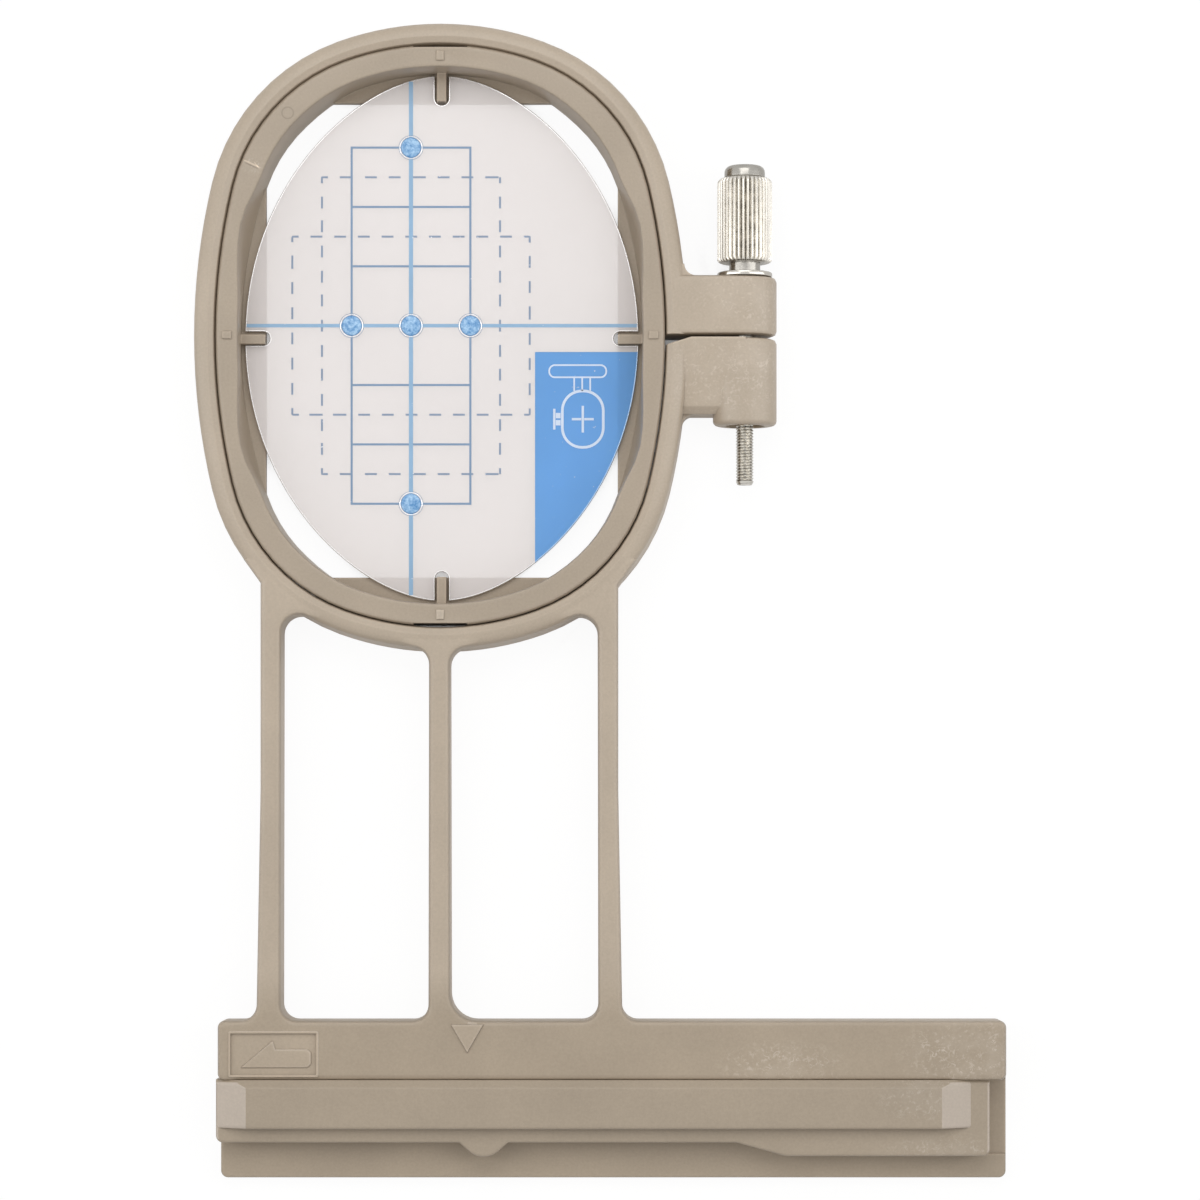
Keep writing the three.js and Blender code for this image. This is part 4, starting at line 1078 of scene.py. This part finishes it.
def turned_washer():
    """The flat washer under the screw's neck"""
    thickness = (washer_high.y - washer_low.y) / MM
    outer = WASHER_RADIUS - WASHER_EDGE
    foot = rounded(outer, WASHER_EDGE, WASHER_EDGE, -90, 0, 4)
    head = rounded(outer, thickness - WASHER_EDGE, WASHER_EDGE, 0, 90, 4)
    profile = [(WASHER_BORE, 0), *foot, *head, (WASHER_BORE, thickness), (WASHER_BORE, 0)]
    rule = turned_rule("turned_washer", nickel)
    return rule.make(
        "turned_washer", profile_mesh("turned_washer", washer_low.y, profile), steps=WASHER_STEPS,
        **axis_place)


def brass_insert():
    """The knurled insert that the stud threads into"""
    length = (nut_high.y - nut_low.y) / MM
    foot = rounded(NUT_RADIUS - NUT_EDGE, NUT_EDGE, NUT_EDGE, -90, 0, 4)
    head = rounded(NUT_RADIUS - NUT_EDGE, length - NUT_EDGE, NUT_EDGE, 0, 90, 4)
    mouth = NUT_BORE + NUT_EDGE
    profile = [(mouth, 0), *foot, *head, (NUT_BORE, length), (NUT_BORE, NUT_EDGE), (mouth, 0)]
    rule = turned_rule("knurled_insert", brass, with_flutes=True)
    return rule.make(
        "brass_insert", profile_mesh("brass_insert", nut_low.y, profile),
        steps=NUT_FLUTES * NUT_FLUTE_STEPS, flutes=NUT_FLUTES, flute_radius=NUT_RADIUS * MM,
        flute_depth=NUT_FLUTE_DEPTH * MM, **axis_place)


dress(knurled_grip(), "thumbscrew", "nickel_plate", "thumbscrew_grip")
dress(threaded_screw(), "thumbscrew", "nickel_plate", "clamp_screw")
dress(turned_washer(), "washer", "nickel_plate", "thrust_washer")
dress(brass_insert(), "frame", "brass", "clamp_nut")

# Guide screws
NECK_SHARE = 0.8
TIP_SHARE = 0.97
TIP_SINK = 0.2
GUIDE_SCREW_SIZES = {
    "head_radius": 2.5,
    "head_depth": 1.4,
    "shank_radius": 1.3,
    "tip_radius": 0.45,
    "tip_depth": 1.3,
    "length": 7,
}
RECESS_SIZE = (2.9, 0.62, 1.8)
guide_screw_nodes = [f"guide_screw_{number}" for number in (1, 2, 3, 4)]


def screw_rule(finish):
    """A countersunk screw with a cross recess in its head, at each point given"""
    rule = Rule("cross_screws", head_radius=0.0, head_depth=0.0, shank_radius=0.0, tip_radius=0.0,
                tip_depth=0.0, length=0.0, recess=(0.0, 0.0, 0.0))
    given = rule.given
    neck = rule.math("MULTIPLY", given["shank_radius"], NECK_SHARE)
    start = rule.math("MULTIPLY", given["head_depth"], 0.5)
    plain = rule.math("SUBTRACT", rule.math("SUBTRACT", given["length"], start), given["tip_depth"])
    tip_base = rule.math("MULTIPLY", given["shank_radius"], TIP_SHARE)
    sunk = rule.math("MULTIPLY", given["tip_depth"], TIP_SINK)
    tip_length = rule.math("ADD", given["tip_depth"], sunk)
    tip_start = rule.math("SUBTRACT", rule.math("ADD", start, plain), sunk)
    stack = rule.add("GeometryNodeMeshBoolean", operation="UNION", solver="EXACT")
    for low_radius, high_radius, length, height in (
        (given["head_radius"], neck, given["head_depth"], 0.0),
        (given["shank_radius"], given["shank_radius"], plain, start),
        (tip_base, given["tip_radius"], tip_length, tip_start),
    ):
        cone = rule.add("GeometryNodeMeshCone",
                        {"Vertices": ROUND_STEPS, "Radius Bottom": low_radius,
                         "Radius Top": high_radius, "Depth": length})
        place = rule.add("ShaderNodeCombineXYZ", {"Z": height})
        moved = rule.add("GeometryNodeTransform",
                         {"Geometry": cone.outputs["Mesh"], "Translation": place.outputs[0]})
        rule.feed(stack.inputs["Mesh 2"], moved.outputs[0])
    bar = rule.add("GeometryNodeMeshCube", {"Size": given["recess"]})
    across = rule.add("GeometryNodeTransform",
                      {"Geometry": bar.outputs["Mesh"], "Rotation": (0, 0, math.pi / 2)})
    drilled = rule.add("GeometryNodeMeshBoolean", {"Mesh 1": stack.outputs[0]}, operation="DIFFERENCE",
                       solver="EXACT")
    for cutter in (bar.outputs["Mesh"], across.outputs[0]):
        rule.feed(drilled.inputs["Mesh 2"], cutter)
    points = rule.add("GeometryNodeMeshToPoints", {"Mesh": given["Geometry"]})
    placed = rule.add("GeometryNodeInstanceOnPoints",
                      {"Points": points.outputs[0], "Instance": drilled.outputs[0]})
    rule.finish(placed.outputs[0], finish)
    return rule


def guide_screw_places():
    """The middle of each screw's head"""
    places = []
    for node in guide_screw_nodes:
        low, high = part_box(node)
        places.append(((low.x + high.x) / 2, (low.y + high.y) / 2, low.z))
    return places


guide_screws = screw_rule(zinc).make(
    "guide_screws", points_mesh("guide_screws", guide_screw_places()),
    recess=tuple(side * MM for side in RECESS_SIZE),
    **{name: size * MM for name, size in GUIDE_SCREW_SIZES.items()})
dress(guide_screws, "frame", "zinc_steel", *guide_screw_nodes)

# Stage
FLOOR_REACH = 12
FLOOR_TONE = (0.86, 0.85, 0.84, 1)
GLOSS_LEVEL = 0.24
SHADOW_REACH = 0.01
SHADOW_DARK = 0.045
SHADOW_LIGHT = 0.13
FLOOR_GLOW = 1.03
GLOW_SHARE = 0.9
ROOM_WALLS = 0.23
ROOM_CEILING = 0.68
CEILING_FROM = 0.8
LAMP_TARGET = (0, 0.02, 0)

# Name, place, size and power of each lamp, in metres and watts
LAMPS = (
    ("left_strip", (-0.5, 0.06, 0.4), (0.14, 0.8), 0.85),
    ("right_strip", (0.5, 0.06, 0.4), (0.14, 0.8), 0.95),
    ("back_softbox", (-0.03, 0.38, 0.62), (0.6, 0.4), 1.32),
)

# Camera
CAMERA_PLACE = (26.65, -80.88, 700)
SENSOR_WIDTH = 36
FOCAL_LENGTH = 124.15
PHOTO_WIDTH = 1200
PHOTO_SHIFT = 220


def stage_floor():
    """A pale floor that the camera sees as white, with a faint shadow"""
    mesh = bpy.data.meshes.new("floor")
    corners = box_outline(-FLOOR_REACH, FLOOR_REACH, -FLOOR_REACH, FLOOR_REACH)
    mesh.from_pydata([(x, y, 0) for x, y in corners], [], [(0, 1, 2, 3)])
    floor = bpy.data.objects.new("floor", mesh)
    bpy.context.scene.collection.objects.link(floor)
    finish = Finish("floor_paper", Roughness=0.9)
    finish.set("Base Color", FLOOR_TONE)
    path = finish.add("ShaderNodeLightPath")
    seen = finish.math("MAXIMUM", path.outputs["Is Camera Ray"], path.outputs["Is Transmission Ray"])
    in_gloss = finish.math("MULTIPLY", path.outputs["Is Glossy Ray"], GLOSS_LEVEL)
    seen = finish.math("MAXIMUM", seen, in_gloss)
    openness = finish.add("ShaderNodeAmbientOcclusion", {"Distance": SHADOW_REACH}, samples=8).outputs["AO"]
    through = finish.math("MAXIMUM", path.outputs["Transparent Depth"], path.outputs["Is Transmission Ray"])
    unshaded = finish.math("MAXIMUM", finish.remap(openness, SHADOW_DARK, SHADOW_LIGHT), through)
    unshaded = finish.math("MINIMUM", unshaded, 1.0)
    glow = finish.add("ShaderNodeEmission", {"Color": (1, 1, 1, 1), "Strength": FLOOR_GLOW})
    share = finish.math("MULTIPLY", finish.math("MULTIPLY", seen, unshaded), GLOW_SHARE)
    mixed = finish.add("ShaderNodeMixShader", {"Fac": share})
    finish.tree.links.new(finish.shader.outputs[0], mixed.inputs[1])
    finish.tree.links.new(glow.outputs[0], mixed.inputs[2])
    output = finish.tree.nodes["Material Output"]
    finish.tree.links.new(mixed.outputs[0], output.inputs["Surface"])
    mesh.materials.append(finish.material)


def softbox(name, place, size, power):
    """An area lamp that points at the part"""
    lamp = bpy.data.lights.new(name, "AREA")
    lamp.shape = "RECTANGLE"
    lamp.size, lamp.size_y = size
    lamp.energy = power
    holder = bpy.data.objects.new(name, lamp)
    holder.location = place
    holder.rotation_euler = (Vector(LAMP_TARGET) - Vector(place)).to_track_quat("-Z", "Y").to_euler()
    holder.visible_camera = False
    bpy.context.scene.collection.objects.link(holder)


def studio():
    """White to the camera; to the part a room that darkens from its ceiling to its walls"""
    world = bpy.data.worlds.new("studio")
    bpy.context.scene.world = world
    world.use_nodes = True
    room = NodeTree(world.node_tree)
    back = room.tree.nodes["Background"]
    room.feed(back.inputs["Color"], (1, 1, 1, 1))
    way = room.add("ShaderNodeTexCoord").outputs["Generated"]
    upward = room.add("ShaderNodeSeparateXYZ", {0: way}).outputs["Z"]
    lit = room.remap(upward, 0.0, CEILING_FROM, ROOM_WALLS, ROOM_CEILING)
    path = room.add("ShaderNodeLightPath").outputs
    seen = room.math("MAXIMUM", path["Is Camera Ray"], path["Is Glossy Ray"])
    seen = room.math("MAXIMUM", seen, path["Is Transmission Ray"])
    level = room.add("ShaderNodeMix", {"Factor": seen, "A": lit, "B": 1.0})
    room.feed(back.inputs["Strength"], level.outputs["Result"])


def camera():
    """Looks straight down, off the part's middle, as the photograph was taken"""
    lens = bpy.data.cameras.new("camera")
    lens.sensor_width = SENSOR_WIDTH
    lens.lens = FOCAL_LENGTH
    holder = bpy.data.objects.new("camera", lens)
    lens.shift_y = PHOTO_SHIFT / PHOTO_WIDTH
    holder.location = ring_point(*CAMERA_PLACE)
    bpy.context.scene.collection.objects.link(holder)
    bpy.context.scene.camera = holder


stage_floor()
studio()
for lamp in LAMPS:
    softbox(*lamp)
camera()
bpy.context.scene.view_settings.view_transform = "Standard"
